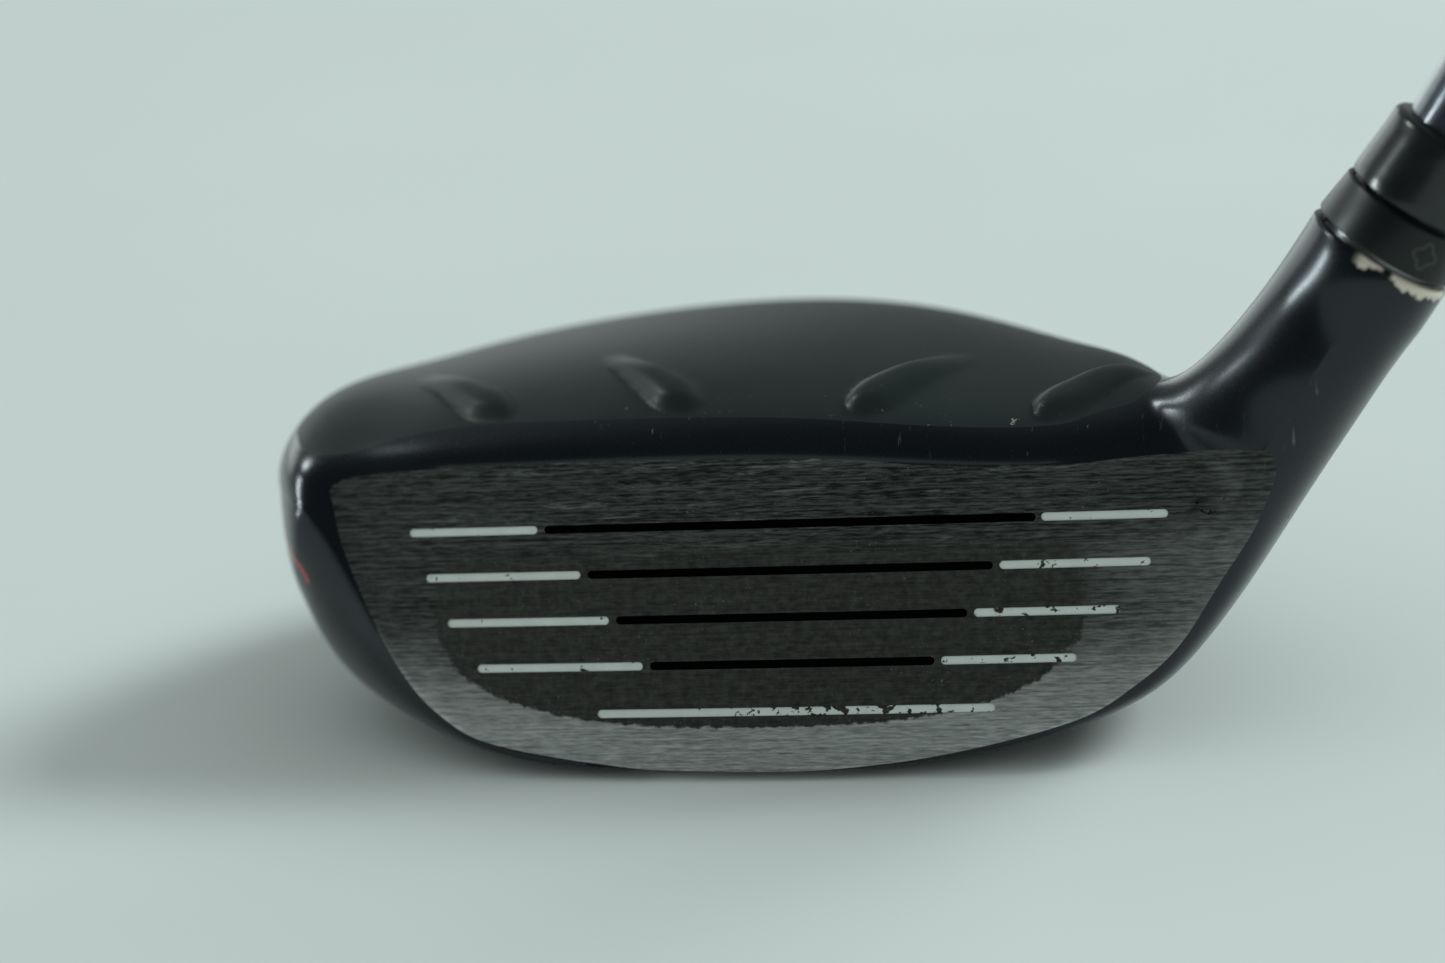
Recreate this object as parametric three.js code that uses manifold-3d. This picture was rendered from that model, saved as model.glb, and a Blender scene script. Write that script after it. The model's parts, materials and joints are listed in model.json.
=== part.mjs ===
// A complete right-handed hybrid golf club with an adjustable hosel, in millimetres, +Z up.
// The club stands at address: +X runs from the toe to the heel, the face looks along -Y and the
// origin is the middle of the small flat on the sole. The head is a loft through five guide rails
// that run from the toe, over the head, and on up the hosel.
import * as THREE from "three";
import { mergeVertices } from "three/addons/utils/BufferGeometryUtils.js";
import Module from "manifold-3d";

const wasm = await Module();
wasm.setup();

// Driving dimensions.
const LOFT = THREE.MathUtils.degToRad(18);
const LIE = THREE.MathUtils.degToRad(56.2);
const SLEEVE_CANT = THREE.MathUtils.degToRad(1);
const FIT_GAP = 0.3;
const LEADING_EDGE = new THREE.Vector3(0, -14, 1.4);
const FACE_RADIUS = 300;
const FACE_MIDDLE = 15;
const FACE_THICKNESS = 2.6;
const CROWN_THICKNESS = 1.2;
const WALL = 2;
const HOSEL_TOP = new THREE.Vector3(56.4, 2, 45.2);
const HOSEL_R = 7.05;
const BORE_R = 6;
const BORE_DEPTH = 33;
const WEB = 3;
const BOLT_R = 2.5;
const BOLT_HEAD_R = 4.3;
const BOLT_HEAD_LENGTH = 4.5;
const SLEEVE_LENGTH = 31;
const SLEEVE_R = 5.7;
const COLLAR_LENGTH = 5;
const FERRULE_LENGTH = 7.4;
const TIP_R = 4.65;
const BUTT_R = 7.6;
const SHAFT_WALL = 1.3;
const SHAFT_LENGTH = 985;
const SHAFT_PARALLEL = 90;
const BUTT_PARALLEL = 120;
const SHAFT_START = -20;
const GRIP_LENGTH = 268;
const GRIP_BUTT_R = 13.4;
const GRIP_MOUTH_R = 9.6;
const TAPE_THICKNESS = 0.5;

// How finely curves are cut into flats.
const ROUND = 24;
const FINE_ROUND = 32;
const OUTLINE_STEPS = 3;
const HEAD_RINGS = 36;
const CAVITY_RINGS = 14;
const TOE_CROWDING = 1.15;
const QUARTER_STEPS = 5;
const FOOT_STEPS = 3;
const FACE_STEPS = [0, 0.25, 0.5, 0.75];

const UP_FACE = new THREE.Vector3(0, Math.sin(LOFT), Math.cos(LOFT));
const OUT_OF_FACE = new THREE.Vector3(0, -Math.cos(LOFT), Math.sin(LOFT));
const HOSEL_AXIS = new THREE.Vector3(Math.cos(LIE), 0, Math.sin(LIE));
const HOSEL_SIDE = new THREE.Vector3(-Math.sin(LIE), 0, Math.cos(LIE));

// The loft's guide rails ------------------------------------------------------------------------

// A point on the bulged and rolled face: x across it, s up along it, out in front of it.
function onFace([x, s, out = 0]) {
  const sag = (x * x + (s - FACE_MIDDLE) ** 2) / (2 * FACE_RADIUS);
  return LEADING_EDGE.clone()
    .add(new THREE.Vector3(x, 0, 0))
    .addScaledVector(UP_FACE, s)
    .addScaledVector(OUT_OF_FACE, out - sag);
}

function toFace(point) {
  const from = point.clone().sub(LEADING_EDGE);
  const s = from.dot(UP_FACE);
  const sag = (point.x ** 2 + (s - FACE_MIDDLE) ** 2) / (2 * FACE_RADIUS);
  return [point.x, s, from.dot(OUT_OF_FACE) + sag];
}

// The four sides of the hosel at a distance along its axis: front, top, back and underside.
function aroundHosel(along, front, top, back, under) {
  const centre = HOSEL_TOP.clone().addScaledVector(HOSEL_AXIS, along);
  const rim = toFace(centre.clone().add(new THREE.Vector3(0, -front, 0)));
  return {
    faceTop: rim,
    crown: centre.clone().addScaledVector(HOSEL_SIDE, top).toArray(),
    back: [centre.x, centre.y + back, centre.z],
    sole: centre.clone().addScaledVector(HOSEL_SIDE, -under).toArray(),
    faceBottom: rim,
  };
}

// Sections from toe to hosel. The face rails are [across, up the face, in front of it], the others
// are [x, y, z] of the crown's ridge, the back and the sole.
const TOE = [-53.4, 8, 24];
const SECTIONS = [
  { faceTop: toFace(new THREE.Vector3(...TOE)), crown: TOE, back: TOE, sole: TOE,
    faceBottom: toFace(new THREE.Vector3(...TOE)) },
  { faceTop: [-47.8, 26.5, 1], crown: [-49.2, 11, 31.3], back: [-50, 24, 23.5],
    sole: [-51.3, 9, 12], faceBottom: [-47.8, 25.5, 1] },
  { faceTop: [-41.5, 28.4], crown: [-41, 13, 33], back: [-43, 38, 21.5],
    sole: [-46, 6, 4.6], faceBottom: [-41.5, 15.5] },
  { faceTop: [-31, 29.1], crown: [-30, 15, 34.5], back: [-32, 49, 20],
    sole: [-33, 2, 0.8], faceBottom: [-31, 3.2] },
  { faceTop: [-16, 29.2], crown: [-15, 16, 35.9], back: [-15, 56, 19],
    sole: [-15, 0, -0.05], faceBottom: [-15, 0] },
  { faceTop: [0, 29], crown: [0, 16, 36.2], back: [1, 57, 18.5],
    sole: [4, 0, -0.1], faceBottom: [2, -0.4] },
  { faceTop: [14, 28.1], crown: [13, 14.5, 35.3], back: [17, 50, 18.5],
    sole: [21, 0, 0.7], faceBottom: [18, 1.4] },
  { faceTop: [27, 27.8], crown: [24, 12, 33.7], back: [31, 37, 19.5],
    sole: [36, 2, 5.5], faceBottom: [32, 6.5] },
  { ...aroundHosel(-31, 7.1, 7.1, 7.1, 7.1), faceTop: [38, 28.4], crown: [31.5, 8, 33.4],
    back: [40, 22, 22], faceBottom: [40.5, 16.2] },
  aroundHosel(-20.5, 7.1, 9.6, 8.6, HOSEL_R),
  aroundHosel(-10, HOSEL_R, 7.3, 7.2, HOSEL_R),
  aroundHosel(0, HOSEL_R, HOSEL_R, HOSEL_R, HOSEL_R),
];
const LAST = SECTIONS.length - 1;

// A natural cubic spline through equally spaced values, level at the toe when asked.
function spline(values, levelStart) {
  const n = values.length;
  const diagonal = Array(n).fill(4);
  const right = values.map((_, i) => 3 * ((values[i + 1] ?? values[i]) - (values[i - 1] ?? values[i])));
  diagonal[0] = levelStart ? 1 : 2;
  diagonal[n - 1] = 2;
  if (levelStart) right[0] = 0;
  for (let i = 1; i < n; i++) {
    const above = i === 1 && levelStart ? 0 : 1;
    diagonal[i] -= above / diagonal[i - 1];
    right[i] -= right[i - 1] / diagonal[i - 1];
  }
  const slope = Array(n);
  slope[n - 1] = right[n - 1] / diagonal[n - 1];
  for (let i = n - 2; i >= 0; i--) {
    const above = i === 0 && levelStart ? 0 : 1;
    slope[i] = (right[i] - above * slope[i + 1]) / diagonal[i];
  }
  return (u) => {
    const i = Math.min(Math.floor(u), n - 2);
    const t = u - i;
    const blend = t * t * (3 - 2 * t);
    return (
      values[i] * (1 - blend) + values[i + 1] * blend +
      slope[i] * t * (1 - t) ** 2 - slope[i + 1] * t * t * (1 - t)
    );
  };
}

// The same between equally spaced values, but level at each of them, so that zero stays zero.
function steps(values) {
  return (u) => {
    const i = Math.min(Math.floor(u), values.length - 2);
    return THREE.MathUtils.lerp(values[i], values[i + 1], THREE.MathUtils.smoothstep(u - i, 0, 1));
  };
}

function bodyRail(name) {
  const axes = [0, 1, 2].map((axis) => spline(SECTIONS.map((section) => section[name][axis]), axis === 0));
  return (u) => new THREE.Vector3(...axes.map((axis) => axis(u)));
}

function faceRail(name) {
  const across = spline(SECTIONS.map((section) => section[name][0]), true);
  const up = spline(SECTIONS.map((section) => section[name][1]), false);
  const out = steps(SECTIONS.map((section) => section[name][2] ?? 0));
  return (u) => [across(u), up(u), out(u)];
}

const faceTopRail = faceRail("faceTop");
const faceBottomRail = faceRail("faceBottom");
const crownRail = bodyRail("crown");
const backRail = bodyRail("back");
const soleRail = bodyRail("sole");

// The loft --------------------------------------------------------------------------------------

// A quarter of an oval between two rail points. It leaves both of them towards the corner, which it
// nears by the share called fullness.
function quarter(from, to, corner, count, fullness) {
  const first = from.clone().lerp(corner, fullness);
  const second = to.clone().lerp(corner, fullness);
  const curve = new THREE.CubicBezierCurve3(from, first, second, to);
  return curve.getPoints(count).slice(0, count);
}

const OVAL = 0.5523;
const BACK_FULLNESS = 0.5;

// One closed section at u: up over the band and the crown, down the back, under the sole and up the
// face. inset moves it inwards by a wall, and behind the face by setBack.
function section(u, inset, setBack) {
  const faceTop = faceTopRail(u);
  const faceBottom = faceBottomRail(u);
  const top = onFace(faceTop);
  const bottom = onFace(faceBottom);
  const crown = crownRail(u);
  const back = backRail(u);
  const sole = soleRail(u);
  if (inset > 0) {
    const climb = crown.clone().sub(sole).setY(0).normalize();
    crown.addScaledVector(climb, -inset);
    sole.addScaledVector(climb, inset);
    back.y -= inset;
    top.addScaledVector(OUT_OF_FACE, -setBack).addScaledVector(climb, -inset);
    bottom.addScaledVector(OUT_OF_FACE, -setBack).addScaledVector(climb, inset);
  }
  const corner = (edge, side) => new THREE.Vector3(side.x, edge.y, side.z);
  const face = FACE_STEPS.map((t) =>
    inset > 0 ? bottom.clone().lerp(top, t)
      : onFace(faceBottom.map((value, i) => THREE.MathUtils.lerp(value, faceTop[i], t))));
  return [
    ...quarter(top, crown, corner(top, crown), QUARTER_STEPS, OVAL),
    ...quarter(crown, back, corner(back, crown), QUARTER_STEPS, BACK_FULLNESS),
    ...quarter(back, sole, corner(back, sole), QUARTER_STEPS, OVAL),
    ...quarter(sole, bottom, corner(bottom, sole), FOOT_STEPS, OVAL),
    ...face,
  ];
}

// A closed mesh through rings of points, with a fan at both ends.
function skin(rings) {
  const around = rings[0].length;
  const points = rings.flat();
  const triangles = [];
  for (let i = 0; i < rings.length - 1; i++) {
    for (let j = 0; j < around; j++) {
      const a = i * around + j;
      const b = i * around + ((j + 1) % around);
      triangles.push(a, a + around, b, b, a + around, b + around);
    }
  }
  for (const [ring, flip] of [[0, false], [rings.length - 1, true]]) {
    const centre = new THREE.Vector3();
    rings[ring].forEach((point) => centre.addScaledVector(point, 1 / around));
    points.push(centre);
    for (let j = 0; j < around; j++) {
      const a = ring * around + j;
      const b = ring * around + ((j + 1) % around);
      triangles.push(points.length - 1, flip ? b : a, flip ? a : b);
    }
  }
  const geometry = new THREE.BufferGeometry().setFromPoints(points);
  geometry.setIndex(triangles);
  return geometry;
}

function headSkin(first, last, count, inset = 0, setBack = 0) {
  const rings = [];
  for (let i = 0; i <= count; i++) {
    const even = i / count;
    rings.push(section(first + (last - first) * even ** TOE_CROWDING, inset, setBack));
  }
  return skin(rings);
}

// Solids and booleans ---------------------------------------------------------------------------

const WELD = 1e-3;

// The geometry with its vertices welded, and without the flat or folded triangles that this leaves.
function welded(geometry) {
  const bare = geometry.clone();
  bare.deleteAttribute("normal");
  bare.deleteAttribute("uv");
  const merged = mergeVertices(bare, WELD);
  const index = merged.index.array;
  const triangles = new Map();
  for (let i = 0; i < index.length; i += 3) {
    const corners = [index[i], index[i + 1], index[i + 2]];
    if (new Set(corners).size < 3) continue;
    const key = [...corners].sort((a, b) => a - b).join();
    if (!triangles.delete(key)) triangles.set(key, corners);
  }
  merged.setIndex([...triangles.values()].flat());
  return merged;
}

function solid(geometry) {
  const closed = welded(geometry);
  return new wasm.Manifold(new wasm.Mesh({
    numProp: 3,
    vertProperties: Float32Array.from(closed.attributes.position.array),
    triVerts: Uint32Array.from(closed.index.array),
  }));
}

function geometryOf(manifold) {
  const mesh = manifold.getMesh();
  const geometry = new THREE.BufferGeometry();
  geometry.setAttribute("position", new THREE.BufferAttribute(mesh.vertProperties, 3));
  geometry.setIndex(new THREE.BufferAttribute(mesh.triVerts, 1));
  return welded(geometry);
}

// A turned solid about +Z from [radius, height] points that start and end on the axis or close.
function turned(points, facets = ROUND) {
  const profile = points.map(([r, z]) => new THREE.Vector2(r, z));
  return new THREE.LatheGeometry(profile, facets).rotateX(Math.PI / 2);
}

function rod(radius, from, to, facets = ROUND) {
  return turned([[0, from], [radius, from], [radius, to], [0, to]], facets);
}

function tube(inner, outer, from, to, facets = ROUND) {
  return turned([[inner, from], [outer, from], [outer, to], [inner, to], [inner, from]], facets);
}

// The frames of the hosel, the shaft and the sole weight ----------------------------------------

const hosel = new THREE.Group();
hosel.position.copy(HOSEL_TOP);
hosel.rotation.y = Math.PI / 2 - LIE;

const shaftLine = new THREE.Group();
shaftLine.position.z = COLLAR_LENGTH;
shaftLine.rotation.y = -SLEEVE_CANT;
hosel.add(shaftLine);

const WEIGHT_PLACE = new THREE.Vector3(0, 32, 3);
const WEIGHT_TILT = THREE.MathUtils.degToRad(13);
const weightPort = new THREE.Group();
weightPort.position.copy(WEIGHT_PLACE);
weightPort.rotation.x = WEIGHT_TILT;

const placedIn = (frame, geometry) => {
  frame.updateWorldMatrix(true, false);
  return geometry.applyMatrix4(frame.matrixWorld);
};
const inHosel = (geometry) => solid(placedIn(hosel, geometry));
const inWeightPort = (geometry) => solid(placedIn(weightPort, geometry));

// The head --------------------------------------------------------------------------------------

const WHOLE_HEAD = solid(headSkin(0, LAST, HEAD_RINGS));

function outline(points) {
  const curve = new THREE.CatmullRomCurve3(points.map(([x, y]) => new THREE.Vector3(x, y, 0)), true);
  return curve.getPoints(points.length * OUTLINE_STEPS).slice(0, -1).map((p) => new THREE.Vector2(p.x, p.y));
}

// The outline moved outwards by a distance.
function grown(points, distance) {
  return points.map((point, i) => {
    const before = points.at(i - 1);
    const after = points[(i + 1) % points.length];
    const along = after.clone().sub(before).normalize();
    return point.clone().add(new THREE.Vector2(along.y, -along.x).multiplyScalar(distance));
  });
}

const slab = (points, depth) =>
  new THREE.ExtrudeGeometry(new THREE.Shape(points), { depth, bevelEnabled: false });

// The welded face plate's edge, [across, up the face], inside the edge of the face itself.
const PLATE_EDGE = outline([
  [0, 1.6], [15, 2.6], [25, 5.6], [31.5, 11], [33.5, 20], [31, 25.6], [22, 26], [10, 26.8],
  [-6, 27.4], [-24, 27.6], [-38, 26.8], [-41, 23], [-38.5, 14], [-33, 7], [-24, 3], [-12, 1.6],
]);
const PLATE_REACH = 6;

function facePlug(edge) {
  const toFaceFrame = new THREE.Matrix4().makeBasis(new THREE.Vector3(1, 0, 0), UP_FACE, OUT_OF_FACE);
  toFaceFrame.setPosition(LEADING_EDGE);
  return solid(slab(edge, 2 * PLATE_REACH).translate(0, 0, -PLATE_REACH).applyMatrix4(toFaceFrame));
}

// The crown panel's edge in plan, inside the head's own outline and behind the shiny band.
const CROWN_EDGE = outline([
  [0, -1], [16, -1.5], [26, 1], [30, 8], [28, 20], [21, 34], [10, 45], [-4, 49.5], [-20, 46.5],
  [-34, 37], [-43, 25], [-45, 14], [-41, 5], [-30, 0.5], [-15, -0.8],
]);
const CROWN_CUT_FLOOR = 20;
const CROWN_CUT_HEIGHT = 30;

function crownPlug(edge) {
  return solid(slab(edge, CROWN_CUT_HEIGHT).translate(0, 0, CROWN_CUT_FLOOR));
}

// Four low fins across the front of the crown: [x, y, turn]. Each leans away from the middle.
const FINS = [[-31.5, 5.5, -28], [-12.5, 5, -24], [11.5, 4.5, 30], [27, 4.5, 42]];
const FIN_HALF = [0.9, 7, 1.1];
const FIN_PITCH = 12;
const FIN_SINK = 0.2;

// How high the head reaches above a point of its plan, felt with a thin upright needle.
function crownHeight(x, y) {
  const reach = 60;
  const needle = solid(new THREE.BoxGeometry(0.2, 0.2, reach).translate(x, y, reach / 2));
  return WHOLE_HEAD.intersect(needle).boundingBox().max[2];
}

function crownFins() {
  return FINS.map(([x, y, turn]) => {
    const fin = new THREE.SphereGeometry(1, 8, 8).scale(...FIN_HALF);
    fin.rotateX(THREE.MathUtils.degToRad(FIN_PITCH));
    fin.rotateZ(THREE.MathUtils.degToRad(-turn));
    return solid(fin.translate(x, y, crownHeight(x, y) - FIN_SINK));
  });
}

function makeCrown() {
  const under = WHOLE_HEAD.translate([0, 0, -CROWN_THICKNESS]);
  const plug = crownPlug(CROWN_EDGE);
  const panel = crownFins().reduce((whole, fin) => whole.add(fin), WHOLE_HEAD);
  return panel.intersect(plug).subtract(under);
}

const SCORE_PITCH = 4.4;
const SCORE_WIDTH = 0.8;
const SCORE_DEPTH = 0.45;
const SCORE_STEPS = 8;
// Score lines from the top: [middle, half length] across the face.
const SCORES = [[-0.3, 36.5], [-0.3, 34.9], [-0.7, 32.4], [-1.4, 28.8], [0.7, 19]];
const LOWEST_SCORE = 5.2;

function scoreLine(row) {
  const [middle, half] = SCORES[row];
  const up = LOWEST_SCORE + SCORE_PITCH * (SCORES.length - 1 - row);
  const rings = [];
  for (let i = 0; i <= SCORE_STEPS; i++) {
    const x = middle + half * ((2 * i) / SCORE_STEPS - 1);
    const corners = [[-1, 1], [1, 1], [1, -1], [-1, -1]];
    rings.push(corners.map(([side, out]) =>
      onFace([x, up + (side * SCORE_WIDTH) / 2, out > 0 ? 1 : -SCORE_DEPTH])));
  }
  return solid(skin(rings));
}

function makeFacePlate() {
  const behind = OUT_OF_FACE.clone().multiplyScalar(-FACE_THICKNESS).toArray();
  const plate = WHOLE_HEAD.intersect(facePlug(PLATE_EDGE)).subtract(WHOLE_HEAD.translate(behind));
  return SCORES.reduce((cut, _, row) => cut.subtract(scoreLine(row)), plate);
}

// Along the hosel's axis from its rim, downwards.
const SEAT = -(BORE_DEPTH + WEB);
const PORT_R = 5.4;
const PORT_FLOOR = -62;
const INNER_TUBE_R = 6.75;
const INNER_TUBE_TOP = -12;
const WASHER_THICKNESS = 1;
const BOLT_HEAD_TOP = SEAT - 2 * FIT_GAP - WASHER_THICKNESS;
const RETAINER_GROOVE_R = 5.9;
const RETAINER_HOLE_R = 3.4;
const RETAINER_THICKNESS = 1.2;
const RETAINER_AT = BOLT_HEAD_TOP - BOLT_HEAD_LENGTH - RETAINER_THICKNESS - 0.4;

const WEIGHT_BOSS_R = 9.6;
const WEIGHT_FLANGE_R = 7.2;
const WEIGHT_SHANK_R = 5;
const WEIGHT_SEAT = 3.2;
const WEIGHT_DEPTH = 8.4;

// The cavity's first and last section.
const CAVITY_FROM = 0.22;
const CAVITY_TO = 7.7;
// How far a cutting tool runs past the surface it enters or leaves by.
const OVERRUN = 6;

// Everything below the level of the flat that the head rests on.
function ground() {
  const [wide, deep] = [200, 10];
  return solid(new THREE.BoxGeometry(wide, wide, deep).translate(0, 0, -deep / 2));
}

function makeHeadBody() {
  const behindFace = FACE_THICKNESS + 2 * FIT_GAP;
  const cavity = solid(headSkin(CAVITY_FROM, CAVITY_TO, CAVITY_RINGS, WALL, behindFace));
  const openings = [facePlug(grown(PLATE_EDGE, FIT_GAP)), crownPlug(grown(CROWN_EDGE, FIT_GAP))];
  const shell = openings.reduce((body, cut) => body.subtract(cut), WHOLE_HEAD.subtract(cavity));
  const hoselTube = inHosel(rod(INNER_TUBE_R, PORT_FLOOR, INNER_TUBE_TOP)).intersect(WHOLE_HEAD);
  const boss = inWeightPort(rod(WEIGHT_BOSS_R, -OVERRUN, WEIGHT_DEPTH)).intersect(WHOLE_HEAD);
  const holes = [
    inHosel(rod(BORE_R, -BORE_DEPTH, OVERRUN)),
    inHosel(rod(BOLT_R + FIT_GAP, SEAT - OVERRUN, -BORE_DEPTH + OVERRUN)),
    inHosel(rod(PORT_R, PORT_FLOOR, SEAT)),
    inHosel(rod(RETAINER_GROOVE_R, RETAINER_AT - FIT_GAP, RETAINER_AT + RETAINER_THICKNESS + FIT_GAP)),
    inWeightPort(rod(WEIGHT_FLANGE_R + FIT_GAP, -OVERRUN, WEIGHT_SEAT)),
    inWeightPort(rod(WEIGHT_SHANK_R + FIT_GAP, -OVERRUN, WEIGHT_DEPTH + OVERRUN)),
    ground(),
  ];
  return holes.reduce((body, hole) => body.subtract(hole), shell.add(hoselTube).add(boss));
}

// A pad of tacky glue on the floor of the cavity that catches loose grains.
const GLUE_HALF = [8, 5, 1.4];
const GLUE_PLACE = [-18, 16, 6.2];

function makeRattleGlue() {
  const pad = new THREE.SphereGeometry(1, 12, 8).scale(...GLUE_HALF).translate(...GLUE_PLACE);
  return geometryOf(solid(pad));
}

// Inside and above the hosel --------------------------------------------------------------------

const STAR_R = 2.6;
const STAR_WAVE = 0.14;
const STAR_DEPTH = 3;

// A star-shaped socket for a driver bit.
function starSocket(from, to) {
  const points = Array.from({ length: ROUND }, (_, i) => {
    const angle = (i / ROUND) * 2 * Math.PI;
    const reach = STAR_R * (1 - STAR_WAVE + STAR_WAVE * Math.cos(6 * angle));
    return new THREE.Vector2(reach * Math.cos(angle), reach * Math.sin(angle));
  });
  return solid(slab(points, to - from).translate(0, 0, from));
}

const SLEEVE_BOTTOM = -SLEEVE_LENGTH;
const THREAD_TOP = -21.5;
const BOLT_TOP = THREAD_TOP - 0.5;
const CHAMFER = 0.5;

function makeHoselBolt() {
  const low = BOLT_HEAD_TOP - BOLT_HEAD_LENGTH;
  const body = solid(turned([
    [0, low], [BOLT_HEAD_R - CHAMFER, low], [BOLT_HEAD_R, low + CHAMFER], [BOLT_HEAD_R, BOLT_HEAD_TOP],
    [BOLT_R, BOLT_HEAD_TOP], [BOLT_R, BOLT_TOP - CHAMFER], [BOLT_R - CHAMFER, BOLT_TOP], [0, BOLT_TOP],
  ]));
  return geometryOf(body.subtract(starSocket(low - OVERRUN, low + STAR_DEPTH)));
}

// Along the shaft's own line, measured from the collar's top.
const SHAFT_FOOT = SHAFT_START - COLLAR_LENGTH;

// The sleeve: splines at its foot, a threaded hole for the bolt and a canted bore for the shaft.
const SPLINE_COUNT = 8;
const SPLINE_LENGTH = 5.5;
const SPLINE_DEPTH = 0.5;
const SPLINE_WIDTH = 1.4;
const SLEEVE_TOP = COLLAR_LENGTH - 0.4;

function makeAdapterSleeve() {
  const outer = solid(turned([
    [0, SLEEVE_BOTTOM], [SLEEVE_R - CHAMFER, SLEEVE_BOTTOM], [SLEEVE_R, SLEEVE_BOTTOM + CHAMFER],
    [SLEEVE_R, SLEEVE_TOP], [0, SLEEVE_TOP],
  ]));
  shaftLine.updateMatrix();
  const bore = rod(TIP_R + FIT_GAP, SHAFT_FOOT - 2 * FIT_GAP, OVERRUN).applyMatrix4(shaftLine.matrix);
  const thread = rod(BOLT_R + FIT_GAP, SLEEVE_BOTTOM - OVERRUN, THREAD_TOP);
  let sleeve = outer.subtract(solid(bore)).subtract(solid(thread));
  for (let i = 0; i < SPLINE_COUNT; i++) {
    const groove = new THREE.BoxGeometry(SPLINE_WIDTH, 2 * SPLINE_DEPTH, 2 * SPLINE_LENGTH);
    groove.translate(0, SLEEVE_R, SLEEVE_BOTTOM);
    sleeve = sleeve.subtract(solid(groove.rotateZ((i / SPLINE_COUNT) * 2 * Math.PI)));
  }
  return geometryOf(sleeve);
}

const SHAFT_HEAD = SHAFT_FOOT + SHAFT_LENGTH;
const TAPER = [SHAFT_FOOT + SHAFT_PARALLEL, SHAFT_HEAD - BUTT_PARALLEL];
const shaftStops = [SHAFT_FOOT, ...TAPER, SHAFT_HEAD];

function shaftRadius(z) {
  const share = (z - TAPER[0]) / (TAPER[1] - TAPER[0]);
  return TIP_R + (BUTT_R - TIP_R) * THREE.MathUtils.clamp(share, 0, 1);
}

function makeShaft() {
  const out = shaftStops.map((z) => [shaftRadius(z), z]);
  const back = shaftStops.map((z) => [shaftRadius(z) - SHAFT_WALL, z]).reverse();
  return turned([...out, ...back, out[0]]);
}

// A taper from the collar's width almost to the shaft's, with a rounded top.
const FERRULE_R = 6.3;
const FERRULE_TOP_ROUND = [0.6, 1.4];

function makeFerrule() {
  const inner = TIP_R + FIT_GAP;
  const [low, high] = [FIT_GAP, FIT_GAP + FERRULE_LENGTH];
  const [across, up] = FERRULE_TOP_ROUND;
  const topRound = [0, 30, 60, 90].map(THREE.MathUtils.degToRad).map((angle) =>
    [inner + 0.1 + across * Math.cos(angle), high - up + up * Math.sin(angle)]);
  return turned([[inner, low], [FERRULE_R, low], [FERRULE_R, low + 1], ...topRound, [inner, high],
    [inner, low]]);
}

const COLLAR_R = 6.95;
const COLLAR_TOP_R = 6.5;

function makeIndexCollar() {
  const inner = SLEEVE_R + FIT_GAP;
  const [low, high] = [0.5, COLLAR_LENGTH - 0.1];
  return turned([
    [inner, low], [COLLAR_R - 0.2, low], [COLLAR_R, low + 0.3], [COLLAR_TOP_R, high - 0.3],
    [COLLAR_TOP_R - 0.2, high], [inner, high], [inner, low],
  ]);
}

const GRIP_MOUTH = SHAFT_HEAD - GRIP_LENGTH;

// A hollow round piece over the shaft, from two radii along it.
function overShaft(from, to, inside, outside, stops = 3) {
  const heights = Array.from({ length: stops + 1 }, (_, i) => from + ((to - from) * i) / stops);
  const out = heights.map((z) => [outside(z), z]);
  const back = heights.map((z) => [inside(z), z]).reverse();
  return turned([...out, ...back, out[0]]);
}

function makeGripTape() {
  const inside = (z) => shaftRadius(z) + FIT_GAP;
  return overShaft(GRIP_MOUTH + 4, SHAFT_HEAD - 6, inside, (z) => inside(z) + TAPE_THICKNESS);
}

function gripRadius(z) {
  const t = (z - GRIP_MOUTH) / GRIP_LENGTH;
  return THREE.MathUtils.lerp(GRIP_MOUTH_R, GRIP_BUTT_R, 0.25 * t + 0.75 * t * t);
}

function makeGrip() {
  const inside = (z) => shaftRadius(z) + 2 * FIT_GAP + TAPE_THICKNESS;
  return overShaft(GRIP_MOUTH, SHAFT_HEAD - 1, inside, gripRadius, 8);
}

// A rounded disc with a spigot that sits in the shaft's butt.
const CAP_THICKNESS = 3;
const SPIGOT_LENGTH = 12;
const CAP_ROUND = 2.4;

function makeGripCap() {
  const spigot = BUTT_R - SHAFT_WALL - FIT_GAP;
  const foot = SHAFT_HEAD - SPIGOT_LENGTH;
  const low = SHAFT_HEAD + FIT_GAP;
  const high = low + CAP_THICKNESS;
  return turned([
    [0, foot], [spigot, foot], [spigot, low], [GRIP_BUTT_R, low], [GRIP_BUTT_R, low + 1],
    [GRIP_BUTT_R - CAP_ROUND / 2, high - 0.3], [GRIP_BUTT_R - CAP_ROUND, high], [0, high],
  ]);
}

const makeTipPlug = () => rod(TIP_R - SHAFT_WALL - FIT_GAP, SHAFT_FOOT + 1, SHAFT_FOOT + 13);
const makeBoltWasher = () =>
  tube(BOLT_R + FIT_GAP, PORT_R - FIT_GAP, SEAT - FIT_GAP - WASHER_THICKNESS, SEAT - FIT_GAP);
const makeBoltRetainer = () => tube(
  RETAINER_HOLE_R, RETAINER_GROOVE_R - FIT_GAP, RETAINER_AT, RETAINER_AT + RETAINER_THICKNESS, FINE_ROUND,
);

// The sole weight: a flanged plug on a rubber ring, in a tilted port; +Z of its frame is inwards.
const WEIGHT_FACE = -0.2;
const RING_SPACE = 1.3;
const RING_HALF_WIDTH = 0.75;

function makeSoleWeight() {
  const flange = WEIGHT_SEAT - RING_SPACE;
  const tip = WEIGHT_DEPTH - 1;
  const body = solid(turned([
    [0, WEIGHT_FACE], [WEIGHT_FLANGE_R - CHAMFER, WEIGHT_FACE], [WEIGHT_FLANGE_R, WEIGHT_FACE + CHAMFER],
    [WEIGHT_FLANGE_R, flange], [WEIGHT_SHANK_R, flange], [WEIGHT_SHANK_R, tip], [0, tip],
  ]));
  return geometryOf(body.subtract(starSocket(-OVERRUN, STAR_DEPTH - 0.4)));
}

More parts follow.
